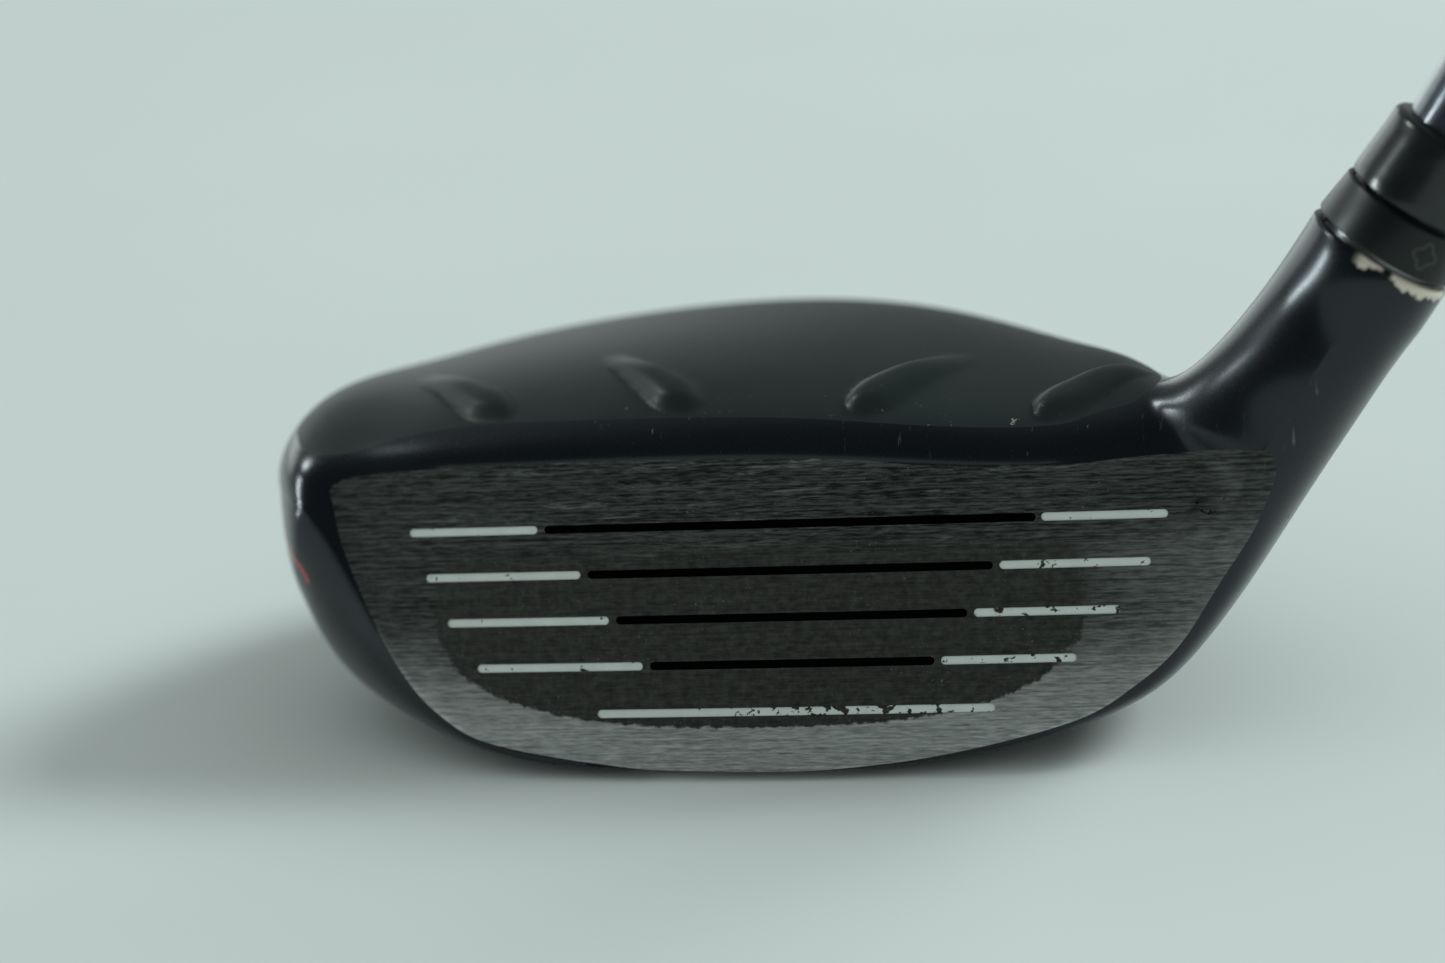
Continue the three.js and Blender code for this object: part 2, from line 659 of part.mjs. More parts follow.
function makeWeightRing() {
  const middle = (WEIGHT_SHANK_R + WEIGHT_FLANGE_R + FIT_GAP) / 2;
  const height = WEIGHT_SEAT - RING_SPACE / 2;
  const half = RING_SPACE / 2 - FIT_GAP;
  const sides = 8;
  const circle = Array.from({ length: sides + 1 }, (_, i) => {
    const angle = ((i % sides) / sides) * 2 * Math.PI;
    return [middle + RING_HALF_WIDTH * Math.cos(angle), height + half * Math.sin(angle)];
  });
  return turned(circle, FINE_ROUND);
}

// Assembly --------------------------------------------------------------------------------------

const finish = (color, roughness, metalness) => new THREE.MeshStandardMaterial({ color, roughness, metalness });
const STEEL = finish(0x4a4e4f, 0.42, 0.9);
const CROWN_PAINT = finish(0x3a4243, 0.55, 0.2);
const MILLED = finish(0x35393a, 0.5, 0.85);
const ALLOY = finish(0x55595c, 0.35, 0.9);
const BLACK_ALLOY = finish(0x17191a, 0.45, 0.6);
const FERRULE_PLASTIC = finish(0x0c0d0e, 0.25, 0);
const GRAPHITE = finish(0x1a1d20, 0.2, 0.3);
const TUNGSTEN = finish(0x6b6e70, 0.4, 0.95);
const BLACK_RUBBER = finish(0x131313, 0.9, 0);
const TAPE = finish(0xd8d0b8, 0.9, 0);
const GLUE = finish(0xcbb98a, 0.7, 0);

function piece(name, geometry, material, parent) {
  const mesh = new THREE.Mesh(geometry, material);
  mesh.name = name;
  parent.add(mesh);
}

const club = new THREE.Group();
club.add(hosel, weightPort);
piece("head_body", geometryOf(makeHeadBody()), STEEL, club);
piece("face_plate", geometryOf(makeFacePlate()), MILLED, club);
piece("crown", geometryOf(makeCrown()), CROWN_PAINT, club);
piece("rattle_glue", makeRattleGlue(), GLUE, club);
piece("sole_weight", makeSoleWeight(), TUNGSTEN, weightPort);
piece("weight_ring", makeWeightRing(), BLACK_RUBBER, weightPort);
piece("hosel_bolt", makeHoselBolt(), STEEL, hosel);
piece("bolt_washer", makeBoltWasher(), ALLOY, hosel);
piece("bolt_retainer", makeBoltRetainer(), BLACK_RUBBER, hosel);
piece("adapter_sleeve", makeAdapterSleeve(), ALLOY, hosel);
piece("index_collar", makeIndexCollar(), BLACK_ALLOY, hosel);
piece("ferrule", makeFerrule(), FERRULE_PLASTIC, shaftLine);
piece("shaft", makeShaft(), GRAPHITE, shaftLine);
piece("tip_plug", makeTipPlug(), ALLOY, shaftLine);
piece("grip_tape", makeGripTape(), TAPE, shaftLine);
piece("grip", makeGrip(), BLACK_RUBBER, shaftLine);
piece("grip_cap", makeGripCap(), BLACK_RUBBER, shaftLine);

export default club;
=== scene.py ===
"""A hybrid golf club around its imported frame: a fine head skin cut into casting, crown and face, turned
hosel parts, shaft and grip, with worn procedural finishes, on a pale floor in soft studio light."""

import json
import math

import bmesh
import bpy
import numpy as np
from mathutils import Matrix, Vector


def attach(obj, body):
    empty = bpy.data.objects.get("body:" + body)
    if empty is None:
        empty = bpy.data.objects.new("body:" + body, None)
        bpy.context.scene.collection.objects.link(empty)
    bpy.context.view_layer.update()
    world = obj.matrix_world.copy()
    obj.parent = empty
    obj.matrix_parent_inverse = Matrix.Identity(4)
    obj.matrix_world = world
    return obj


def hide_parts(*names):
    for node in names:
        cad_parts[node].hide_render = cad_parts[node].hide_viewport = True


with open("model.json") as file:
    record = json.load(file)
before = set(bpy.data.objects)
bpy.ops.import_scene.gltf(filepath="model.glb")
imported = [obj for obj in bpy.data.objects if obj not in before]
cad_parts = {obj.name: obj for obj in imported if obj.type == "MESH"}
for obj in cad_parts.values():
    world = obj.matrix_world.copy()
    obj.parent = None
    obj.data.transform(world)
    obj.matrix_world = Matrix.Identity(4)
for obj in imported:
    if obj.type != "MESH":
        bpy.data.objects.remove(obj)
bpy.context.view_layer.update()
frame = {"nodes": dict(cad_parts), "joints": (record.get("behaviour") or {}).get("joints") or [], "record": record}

# Sizes are in millimetres and become metres only where a mesh is made.
MM = 0.001
JOINTS = {joint["name"]: joint for joint in frame["joints"]}
MOUNTS = {mount["name"]: mount for mount in frame["record"]["mounts"]}
HOSEL_TOP = np.array(JOINTS["head_index"]["pos_m"]) / MM
HOSEL_AXIS = np.array(JOINTS["head_index"]["axis"])
HOSEL_SIDE = np.array([-HOSEL_AXIS[2], 0, HOSEL_AXIS[0]])
SHAFT_AXIS = np.array(MOUNTS["butt_end"]["axis"])
WEIGHT_PLACE = np.array(JOINTS["weight_turn"]["pos_m"]) / MM
WEIGHT_INWARDS = -np.array(JOINTS["weight_turn"]["axis"])

LOFT = math.radians(18)
LEADING_EDGE = np.array([0, -14, 1.4])
FACE_RADIUS = 300
FACE_MIDDLE = 15
FACE_THICKNESS = 2.6
CROWN_THICKNESS = 1.2
WALL = 2
FIT_GAP = 0.3
HOSEL_R = 7.05
COLLAR_LENGTH = 5
UP_FACE = np.array([0, math.sin(LOFT), math.cos(LOFT)])
OUT_OF_FACE = np.array([0, -math.cos(LOFT), math.sin(LOFT)])


# The head's surface ----------------------------------------------------------------------------

def on_face(x, s, out=0.0):
    """Points of the bulged and rolled face: x across it, s up along it, out in front of it."""
    x, s, out = np.broadcast_arrays(np.asarray(x, float), s, out)
    sag = (x**2 + (s - FACE_MIDDLE) ** 2) / (2 * FACE_RADIUS)
    across = x[..., None] * np.array([1.0, 0, 0])
    return LEADING_EDGE + across + s[..., None] * UP_FACE + (out - sag)[..., None] * OUT_OF_FACE


def to_face(point):
    away = np.asarray(point, float) - LEADING_EDGE
    s = away @ UP_FACE
    sag = (point[0] ** 2 + (s - FACE_MIDDLE) ** 2) / (2 * FACE_RADIUS)
    return [point[0], s, away @ OUT_OF_FACE + sag]


def around_hosel(along, front, top, back, under):
    """The hosel's five guide points at a distance along its axis."""
    centre = HOSEL_TOP + along * HOSEL_AXIS
    rim = to_face(centre + [0, -front, 0])
    return [rim, centre + top * HOSEL_SIDE, centre + [0, back, 0], centre - under * HOSEL_SIDE, rim]


# Stations from the toe to the hosel's rim: face top and face bottom as [across, up, out] of the face,
# and between them the crown's ridge, the back and the sole as [x, y, z].
TOE = [-53.4, 8, 24]
STATIONS = [
    [to_face(TOE), TOE, TOE, TOE, to_face(TOE)],
    [[-47.8, 26.5, 1], [-49.2, 11, 31.3], [-50, 24, 23.5], [-51.3, 9, 12], [-47.8, 25.5, 1]],
    [[-41.5, 28.4, 0], [-41, 13, 33], [-43, 38, 21.5], [-46, 6, 4.6], [-41.5, 15.5, 0]],
    [[-31, 29.1, 0], [-30, 15, 34.5], [-32, 49, 20], [-33, 2, 0.8], [-31, 3.2, 0]],
    [[-16, 29.2, 0], [-15, 16, 35.9], [-15, 56, 19], [-15, 0, -0.05], [-15, 0, 0]],
    [[0, 29, 0], [0, 16, 36.2], [1, 57, 18.5], [4, 0, -0.1], [2, -0.4, 0]],
    [[14, 28.1, 0], [13, 14.5, 35.3], [17, 50, 18.5], [21, 0, 0.7], [18, 1.4, 0]],
    [[27, 27.8, 0], [24, 12, 33.7], [31, 37, 19.5], [36, 2, 5.5], [32, 6.5, 0]],
    [[38, 28.4, 0], [31.5, 8, 33.4], [40, 22, 22], around_hosel(-31, 0, 0, 0, 7.1)[3], [40.5, 16.2, 0]],
    around_hosel(-20.5, 7.1, 9.6, 8.6, HOSEL_R),
    around_hosel(-10, HOSEL_R, 7.3, 7.2, HOSEL_R),
    around_hosel(0, HOSEL_R, HOSEL_R, HOSEL_R, HOSEL_R),
]
LAST = len(STATIONS) - 1
FACE_TOP, RIDGE, BACK, SOLE, FACE_BOTTOM = range(5)


def spline(values, level_start):
    """A natural cubic spline through equally spaced values, level at the start when asked."""
    values = np.asarray(values, float)
    count = len(values)
    system = 4 * np.eye(count) + np.eye(count, k=1) + np.eye(count, k=-1)
    rise = 3 * (np.roll(values, -1) - np.roll(values, 1))
    system[0, :2] = (1, 0) if level_start else (2, 1)
    rise[0] = 0 if level_start else 3 * (values[1] - values[0])
    system[-1, -1] = 2
    rise[-1] = 3 * (values[-1] - values[-2])
    slope = np.linalg.solve(system, rise)

    def at(u):
        i = np.minimum(u.astype(int), count - 2)
        t = u - i
        blend = t * t * (3 - 2 * t)
        level = values[i] * (1 - blend) + values[i + 1] * blend
        return level + slope[i] * t * (1 - t) ** 2 - slope[i + 1] * t * t * (1 - t)

    return at


def steps(values):
    """Smooth steps between equally spaced values, level at each, so that zero stays zero."""
    values = np.asarray(values, float)

    def at(u):
        i = np.minimum(u.astype(int), len(values) - 2)
        return values[i] + (values[i + 1] - values[i]) * smoothstep(u - i, 0, 1)

    return at


def smoothstep(value, low, high):
    t = np.clip((value - low) / (high - low), 0, 1)
    return t * t * (3 - 2 * t)


def body_rail(which):
    axes = [spline([station[which][axis] for station in STATIONS], axis == 0) for axis in range(3)]
    return lambda u: np.stack([axis(u) for axis in axes], -1)


def face_rail(which):
    across = spline([station[which][0] for station in STATIONS], True)
    up = spline([station[which][1] for station in STATIONS], False)
    out = steps([station[which][2] for station in STATIONS])
    return lambda u: (across(u), up(u), out(u))


face_top_rail, face_bottom_rail = face_rail(FACE_TOP), face_rail(FACE_BOTTOM)
ridge_rail, back_rail, sole_rail = body_rail(RIDGE), body_rail(BACK), body_rail(SOLE)

OVAL = 0.5523
BACK_FULLNESS = 0.5


def quarter(start, end, corner, count, fullness):
    """Rows of a quarter oval between two rails, without the last one, as [station, row, axis]."""
    t = (np.arange(count) / count)[None, :, None]
    start, end, corner = start[:, None], end[:, None], corner[:, None]
    first = start + (corner - start) * fullness
    second = end + (corner - end) * fullness
    return (start * (1 - t) ** 3 + 3 * first * t * (1 - t) ** 2
            + 3 * second * t * t * (1 - t) + end * t**3)


def head_rows(u, counts, inset=0, set_back=0):
    """The head's closed sections at u, as [section, row, axis]: over the band and crown, down the back,
    under the sole and up the face. inset moves them inwards, and behind the face by set_back."""
    face_top, face_bottom = face_top_rail(u), face_bottom_rail(u)
    closed = smoothstep(u, 8.6, 9.0) / 2
    middle = [(low - high) * closed for low, high in zip(face_bottom, face_top)]
    face_top = [high + shift for high, shift in zip(face_top, middle)]
    face_bottom = [low - shift for low, shift in zip(face_bottom, middle)]
    top, bottom = on_face(*face_top), on_face(*face_bottom)
    ridge, back, sole = ridge_rail(u), back_rail(u), sole_rail(u)
    if inset:
        climb = (ridge - sole) * [1, 0, 1]
        climb /= np.linalg.norm(climb, axis=1, keepdims=True)
        ridge -= inset * climb
        sole += inset * climb
        back -= [0, inset, 0]
        top -= set_back * OUT_OF_FACE + inset * climb
        bottom -= set_back * OUT_OF_FACE - inset * climb

    def corner(edge, side):
        return np.stack([side[:, 0], edge[:, 1], side[:, 2]], -1)

    t = (np.arange(counts[4]) / counts[4])[None, :]
    if inset:
        face = bottom[:, None] + (top - bottom)[:, None] * t[..., None]
    else:
        face = on_face(*(low[:, None] + (high - low)[:, None] * t
                         for low, high in zip(face_bottom, face_top)))
    return np.concatenate([
        quarter(top, ridge, corner(top, ridge), counts[0], OVAL),
        quarter(ridge, back, corner(back, ridge), counts[1], BACK_FULLNESS),
        quarter(back, sole, corner(back, sole), counts[2], OVAL),
        quarter(sole, bottom, corner(bottom, sole), counts[3], OVAL),
        face,
    ], 1)


# Turbulators: low rounded leaves on the front of the crown, each from its blunt nose to its tail, in plan.
TURBULATORS = [
    ((-27.2, 0.0), (-39.2, 12.8)),
    ((-8.5, -1.3), (-19.4, 10.6)),
    ((6.7, -1.7), (17.9, 9.4)),
    ((24.2, -1.0), (35.6, 8.8)),
]
# Where the shiny band ends and the crown begins, as [x, y] in plan.
CREASE = [
    (-48.4, 1.2), (-45, -0.6), (-38, -0.1), (-30.5, -0.2), (-15.5, -1.6), (0, -2.4), (13.6, -2.8),
    (25.5, -1.9), (30, -0.3), (33.6, 1),
]
LEAF_HALF_WIDTH = 2.7
LEAF_TAIL = 0.45
LEAF_HEIGHT = 1.35
LEAF_NOSE = 0.26


def turbulator_height(x, y):
    """How far the crown stands proud of its smooth surface at points of its plan."""
    height = np.zeros_like(x)
    crease = np.interp(x, *np.transpose(CREASE))
    for nose, tail in TURBULATORS:
        along = np.subtract(tail, nose)
        length = np.hypot(*along)
        along = along / length
        t = ((x - nose[0]) * along[0] + (y - nose[1]) * along[1]) / length
        across = (x - nose[0]) * along[1] - (y - nose[1]) * along[0]
        round_nose = np.sqrt(1 - (1 - np.clip(t / LEAF_NOSE, 0, 1)) ** 2)
        round_tail = np.sqrt(1 - np.clip((t - 0.75) / 0.25, 0, 1) ** 2)
        taper = 1 - (1 - LEAF_TAIL) * np.clip(t, 0, 1)
        half = LEAF_HALF_WIDTH * taper * round_nose * round_tail + 1e-6
        reach = np.clip(np.abs(across) / half, 0, 1)
        dome = (1 - reach**2.4) ** 0.9
        rise = round_nose * (1 - smoothstep(t, 0.4, 1.0)) * smoothstep(y - crease, 0, 2)
        inside = (t > 0) & (t < 1)
        height = np.maximum(height, np.where(inside, LEAF_HEIGHT * dome * rise, 0))
    return height


# Meshes, frames and booleans -------------------------------------------------------------------

def ring_faces(rings, around):
    """Quads between successive closed rings of points, and a fan's worth of triangles at both ends."""
    i, j = np.meshgrid(np.arange(rings - 1), np.arange(around), indexing="ij")
    a = (i * around + j).ravel()
    b = (i * around + (j + 1) % around).ravel()
    quads = np.stack([a, a + around, b + around, b], -1).tolist()
    centre = rings * around
    caps = []
    for k in range(around):
        after = (k + 1) % around
        last = (rings - 1) * around
        caps.append((centre, k, after))
        caps.append((centre + 1, last + after, last + k))
    return quads + caps


def mesh_object(name, points, faces):
    """An object whose mesh holds points in millimetres, with its faces turned outwards."""
    mesh = bpy.data.meshes.new(name)
    mesh.from_pydata((np.asarray(points) * MM).tolist(), [], faces)
    bm = bmesh.new()
    bm.from_mesh(mesh)
    bmesh.ops.remove_doubles(bm, verts=bm.verts, dist=1e-7)
    bmesh.ops.dissolve_degenerate(bm, edges=bm.edges, dist=1e-8)
    bmesh.ops.recalc_face_normals(bm, faces=bm.faces)
    bm.to_mesh(mesh)
    bm.free()
    obj = bpy.data.objects.new(name, mesh)
    bpy.context.scene.collection.objects.link(obj)
    return obj


def loft(name, rings):
    """A closed solid through rings of points given as [ring, point, axis]."""
    rings = np.asarray(rings, float)
    ends = [rings[0].mean(0), rings[-1].mean(0)]
    points = np.concatenate([rings.reshape(-1, 3), ends])
    return mesh_object(name, points, ring_faces(*rings.shape[:2]))


def frame_at(origin, up):
    """A frame whose Z is up and whose -Y stays towards the front of the club, in millimetres."""
    up = Vector(up).normalized()
    side = Vector((0, 1, 0)).cross(up).normalized()
    matrix = Matrix((side, up.cross(side), up)).transposed().to_4x4()
    matrix.translation = Vector(origin)
    return matrix


WORLD_FRAME = Matrix.Identity(4)
HOSEL_FRAME = frame_at(HOSEL_TOP, HOSEL_AXIS)
SHAFT_FRAME = frame_at(HOSEL_TOP + COLLAR_LENGTH * HOSEL_AXIS, SHAFT_AXIS)
WEIGHT_FRAME = frame_at(WEIGHT_PLACE, WEIGHT_INWARDS)


def placed(obj, matrix):
    """Puts an object whose mesh is in a frame's own millimetres-made-metres into that frame."""
    scaled = matrix.copy()
    scaled.translation = matrix.translation * MM
    obj.matrix_world = scaled
    return obj


def baked(obj):
    obj.data.transform(obj.matrix_world)
    obj.matrix_world = Matrix.Identity(4)
    return obj


def turned(name, profile, matrix=WORLD_FRAME, facets=128):
    """A turned solid about the frame's Z from a closed outline of [radius, height]."""
    angles = 2 * math.pi * np.arange(facets) / facets
    profile = np.asarray(profile, float)
    spin = np.stack([np.cos(angles), np.sin(angles)], -1)
    count = len(profile)
    points = [(r * c, r * s, z) for c, s in spin for r, z in profile]
    faces = []
    for k in range(facets):
        after = (k + 1) % facets
        for i in range(count):
            j = (i + 1) % count
            corners = [k * count + i, after * count + i, after * count + j, k * count + j]
            if profile[i][0] == 0 and profile[j][0] == 0:
                continue
            faces.append(corners)
    return placed(mesh_object(name, points, faces), matrix)


def rod(radius, low, high, matrix, facets=96):
    return baked(turned("tool", [[0, low], [radius, low], [radius, high], [0, high]], matrix, facets))


def boolean(target, tool, operation="DIFFERENCE"):
    """Cuts, joins or trims target's mesh by tool, which is used up."""
    modifier = target.modifiers.new("boolean", "BOOLEAN")
    modifier.object, modifier.operation, modifier.solver = tool, operation, "MANIFOLD"
    mesh = bpy.data.meshes.new_from_object(target.evaluated_get(bpy.context.evaluated_depsgraph_get()))
    target.modifiers.clear()
    target.data = mesh
    bpy.data.objects.remove(tool)
    return target


def copy_of(obj, name, shift=(0, 0, 0)):
    twin = obj.copy()
    twin.data = obj.data.copy()
    twin.name = name
    bpy.context.scene.collection.objects.link(twin)
    twin.data.transform(Matrix.Translation(Vector(shift) * MM))
    return twin


def smooth(obj, angle=35):
    obj.data.shade_smooth()
    obj.data.set_sharp_from_angle(angle=math.radians(angle))
    return obj


def outline(points, per_point=8):
    """A closed Catmull-Rom curve through points of a plane."""
    points = np.asarray(points, float)
    t = (np.arange(per_point) / per_point)[None, :, None]
    p0, p1, p2, p3 = (np.roll(points, shift, 0)[:, None] for shift in (1, 0, -1, -2))
    curve = 0.5 * (2 * p1 + (p2 - p0) * t + (2 * p0 - 5 * p1 + 4 * p2 - p3) * t**2
                   + (3 * p1 - p0 - 3 * p2 + p3) * t**3)
    return curve.reshape(-1, 2)


# The head's pieces -----------------------------------------------------------------------------

FINE_COUNTS = (56, 60, 50, 20, 36)
COARSE_COUNTS = (12, 14, 16, 8, 10)
FINE_SECTIONS = 380
TOE_CROWDING = 1.15


def section_places(first, last, count):
    return first + (last - first) * np.linspace(0, 1, count) ** TOE_CROWDING


BLEND_PASSES = 160


def melted(rows, share):
    """Smooths the rows where share is above zero, as a casting's fillets do."""
    share = share[..., None] * 0.5
    for _ in range(BLEND_PASSES):
        around = np.roll(rows, 1, 1) + np.roll(rows, -1, 1)
        along = np.concatenate([rows[:1], rows[:-1]]) + np.concatenate([rows[1:], rows[-1:]])
        rows = rows + share * ((around + along) / 4 - rows)
    return rows


def heel_share(rows, u):
    """One where the face's upper heel corner runs into the hosel."""
    share = (smoothstep(u, 6.9, 7.7) * (1 - smoothstep(u, 9.9, 10.6)))[:, None]
    return share * smoothstep(5 - rows[..., 1], 0, 5)


def toe_share(rows, u):
    """One on the shoulder above the face's toe end."""
    share = (smoothstep(u, 0.1, 0.5) * (1 - smoothstep(u, 2.0, 2.8)))[:, None]
    return share * smoothstep(rows[..., 2], 24, 27) * (1 - smoothstep(rows[..., 1], 3, 9))


def make_skin():
    """The whole head as one fine solid."""
    u = section_places(0, LAST, FINE_SECTIONS)
    rows = head_rows(u, FINE_COUNTS)
    rows = melted(rows, np.maximum(heel_share(rows, u), toe_share(rows, u)))
    upper = FINE_COUNTS[0] + FINE_COUNTS[1]
    top = rows[:, :upper]
    normal = np.cross(np.gradient(top, axis=1), np.gradient(top, axis=0))
    normal /= np.linalg.norm(normal, axis=2, keepdims=True) + 1e-12
    normal *= np.sign(normal[..., 2:]) + (normal[..., 2:] == 0)
    rows[:, :upper] += normal * turbulator_height(top[..., 0], top[..., 1])[..., None]
    return loft("skin", rows)


def upright(x, y, z):
    return np.array([x, y, z])


def slab(name, plan, low, high, place=upright):
    """A prism over a plane outline: place turns plane points and a height into space."""
    plan = np.asarray(plan)
    rings = [[place(x, y, height) for x, y in plan] for height in (low, high)]
    count = len(plan)
    points = np.concatenate(rings)
    sides = [(k, (k + 1) % count, count + (k + 1) % count, count + k) for k in range(count)]
    faces = sides + [tuple(reversed(range(count))), tuple(range(count, 2 * count))]
    return mesh_object(name, points, faces)


# The edge of the milled area, as [across, up] of the face, and the painted crown's edge in plan.
MILLED_EDGE = outline([
    (-44, 28.1), (-35.6, 29), (-17, 29.3), (3.9, 28.9), (14.2, 28), (26.2, 27.7), (34.1, 28.3),
    (43.4, 28.6), (46.3, 27.4), (44.5, 22), (40.7, 16.2), (36.9, 10.6), (32.8, 7), (27.1, 3.8),
    (15.6, 1), (5, -0.3), (-4.6, -0.5), (-14.3, -0.1), (-28.2, 2.2), (-34.2, 5.2), (-38.6, 10.3),
    (-42.9, 19.3), (-44.5, 25.2),
])
CROWN_EDGE = outline(CREASE + [
    (35.6, 4), (34, 14), (28, 29), (19, 41), (7, 50), (-7, 53),
    (-22, 50.5), (-35, 42), (-45, 30), (-50, 17), (-50.6, 8),
])
PLATE_REACH = 6
FACE_WINDOW_LOW = 3
BELOW_FACE = -9


def face_plug(lowest=BELOW_FACE):
    """A prism over the milled area, or over the part of it that is higher than lowest up the face."""
    def place(x, s, out):
        return LEADING_EDGE + [x, 0, 0] + max(s, lowest) * UP_FACE + out * OUT_OF_FACE
    return slab("plug", MILLED_EDGE, -PLATE_REACH, PLATE_REACH, place)


def crown_plug():
    return slab("plug", CROWN_EDGE, 20, 50)


# Score lines from the top: how far up the face, and the ends of the painted, bare and painted grooves.
SCORE_WIDTH = 0.8
SCORE_DEPTH = 0.45
SCORE_LINES = [
    (22.9, [(-36.8, -23.8, True), (-23.1, 24.0, False), (24.5, 36.2, True)]),
    (18.5, [(-35.2, -19.6, True), (-18.9, 19.9, False), (20.5, 34.5, True)]),
    (14.1, [(-33.1, -16.9, True), (-16.2, 17.4, False), (18.0, 31.6, True)]),
    (9.7, [(-30.2, -13.7, True), (-13.0, 14.2, False), (14.8, 27.4, True)]),
    (5.2, [(-18.3, 19.7, True)]),
]
PAINT_RECESS = 0.1


def groove(low, high, up, radius, top, bottom):
    """A round-ended bar sunk in the face between two heights above its surface."""
    ends = radius * (1 - np.cos(np.linspace(0, math.pi / 2, 7)))
    middle = np.linspace(low + radius, high - radius, max(3, int((high - low) / 2)))
    x = np.concatenate([low + ends[:-1], middle, high - ends[:-1][::-1]])
    reach = np.minimum(np.minimum(x - low, high - x), radius)
    half = np.sqrt(np.maximum(radius**2 - (radius - reach) ** 2, 1e-4))
    corners = [(-1, top), (1, top), (1, bottom), (-1, bottom)]
    rings = np.stack([on_face(x, up + side * half, out) for side, out in corners], 1)
    return loft("groove", rings)


def cut_score_lines(piece):
    for up, parts in SCORE_LINES:
        for low, high, _ in parts:
            boolean(piece, groove(low, high, up, SCORE_WIDTH / 2, 1, -SCORE_DEPTH))


def make_score_paint():
    radius = SCORE_WIDTH / 2 - 0.01
    fills = [groove(low, high, up, radius, -PAINT_RECESS, 0.01 - SCORE_DEPTH)
             for up, parts in SCORE_LINES for low, high, painted in parts if painted]
    return joined("score_paint", fills)


def joined(name, objects):
    bm = bmesh.new()
    for obj in objects:
        bm.from_mesh(obj.data)
        bpy.data.objects.remove(obj)
    mesh = bpy.data.meshes.new(name)
    bm.to_mesh(mesh)
    bm.free()
    obj = bpy.data.objects.new(name, mesh)
    bpy.context.scene.collection.objects.link(obj)
    return obj


# Along the hosel from its rim, and into the sole along the weight.
BORE = (6, -33)
WEB = 3
BOLT_R = 2.5
PORT = (5.4, -62)
INNER_TUBE = (6.75, -12)
RETAINER_GROOVE = (5.9, -43.9, -42.3)
RIM_ROUND = 0.45
THIN_WALL = 0.15
WEIGHT_FLANGE_R = 7.2
WEIGHT_SHANK_R = 5
WEIGHT_SEAT = 3.2
WEIGHT_DEPTH = 8.4
WEIGHT_BOSS_R = 9.6
OVERRUN = 6


def rim_round():
    """A ring that rounds the hosel's outer rim when it is cut away."""
    angles = np.linspace(0, math.pi / 2, 7)
    outside = HOSEL_R + 0.02
    curve = [[outside - RIM_ROUND * (1 - math.cos(a)), RIM_ROUND * (math.sin(a) - 1)] for a in angles]
    profile = [[HOSEL_R + 2, -RIM_ROUND], *curve, [HOSEL_R - RIM_ROUND, 2], [HOSEL_R + 2, 2]]
    return baked(turned("tool", profile, HOSEL_FRAME))


def make_casting(skin, face):
    seat = BORE[1] - WEB
    casting = copy_of(skin, "head_casting")
    cavity = loft("cavity", head_rows(section_places(0.22, 7.7, 40), COARSE_COUNTS, WALL,
                                      FACE_THICKNESS + 2 * FIT_GAP))
    front = boolean(face_plug(), copy_of(skin, "behind", -FACE_THICKNESS * OUT_OF_FACE))
    for tool in (cavity, front, face_plug(FACE_WINDOW_LOW), crown_plug()):
        boolean(casting, tool)
    tube = rod(INNER_TUBE[0], PORT[1], INNER_TUBE[1], HOSEL_FRAME)
    boss = rod(WEIGHT_BOSS_R, -OVERRUN, WEIGHT_DEPTH, WEIGHT_FRAME)
    tube = boolean(tube, copy_of(skin, "limit"), "INTERSECT")
    boss = boolean(boss, copy_of(skin, "limit"), "INTERSECT")
    boolean(casting, tube, "UNION")
    boolean(casting, boss, "UNION")
    boolean(casting, copy_of(face, "tool"))
    holes = [
        rod(BORE[0], BORE[1], OVERRUN, HOSEL_FRAME),
        rod(BOLT_R + FIT_GAP, seat - OVERRUN, BORE[1] + OVERRUN, HOSEL_FRAME),
        rod(PORT[0], PORT[1], seat, HOSEL_FRAME),
        rod(*RETAINER_GROOVE, HOSEL_FRAME),
        rod(WEIGHT_FLANGE_R + FIT_GAP, -OVERRUN, WEIGHT_SEAT, WEIGHT_FRAME),
        rod(WEIGHT_SHANK_R + FIT_GAP, -OVERRUN, WEIGHT_DEPTH + OVERRUN, WEIGHT_FRAME),
        rim_round(),
    ]
    for hole in holes:
        boolean(casting, hole)
    return smooth(casting)


def make_crown(skin):
    crown = boolean(copy_of(skin, "crown_panel"), crown_plug(), "INTERSECT")
    boolean(crown, copy_of(skin, "under", (0, 0, -CROWN_THICKNESS)))
    return smooth(crown)


def make_face(skin):
    face = boolean(copy_of(skin, "milled_face"), face_plug(), "INTERSECT")
    boolean(face, copy_of(skin, "behind", -FACE_THICKNESS * OUT_OF_FACE))
    boolean(face, rod(BORE[0] + THIN_WALL, PORT[1], OVERRUN, HOSEL_FRAME))
    cut_score_lines(face)
    return smooth(face)


# Inside and above the hosel --------------------------------------------------------------------

WASHER = (-37.3, -36.3)
BOLT_TOP = -22
BOLT_HEAD = (4.3, -42.1, -37.6)
STAR_R = 2.6
STAR_WAVE = 0.14
STAR_DEPTH = 3
SLEEVE = (5.7, -31, 4.6)
THREAD_HOLE_TOP = -21.5
SPLINES = 8
SPLINE_SIZE = (1.4, 1.0, 11)
RETAINER = (-43.7, -42.5)
TIP_R = 4.65
BUTT_R = 7.6
SHAFT_WALL = 1.3
SHAFT_ENDS = (-25, 960)
TAPER = (65, 900)
GRIP_ENDS = (692, 959)
GRIP_MOUTH_R = 9.6
GRIP_BUTT_R = 13.4
CAP_ENDS = (960.3, 963.3)


def arc(centre, radius, start, end, count=8):
    """Points of an arc in an outline, with angles in degrees from straight outwards."""
    angles = np.radians(np.linspace(start, end, count))
    return [[centre[0] + radius * math.cos(a), centre[1] + radius * math.sin(a)] for a in angles]


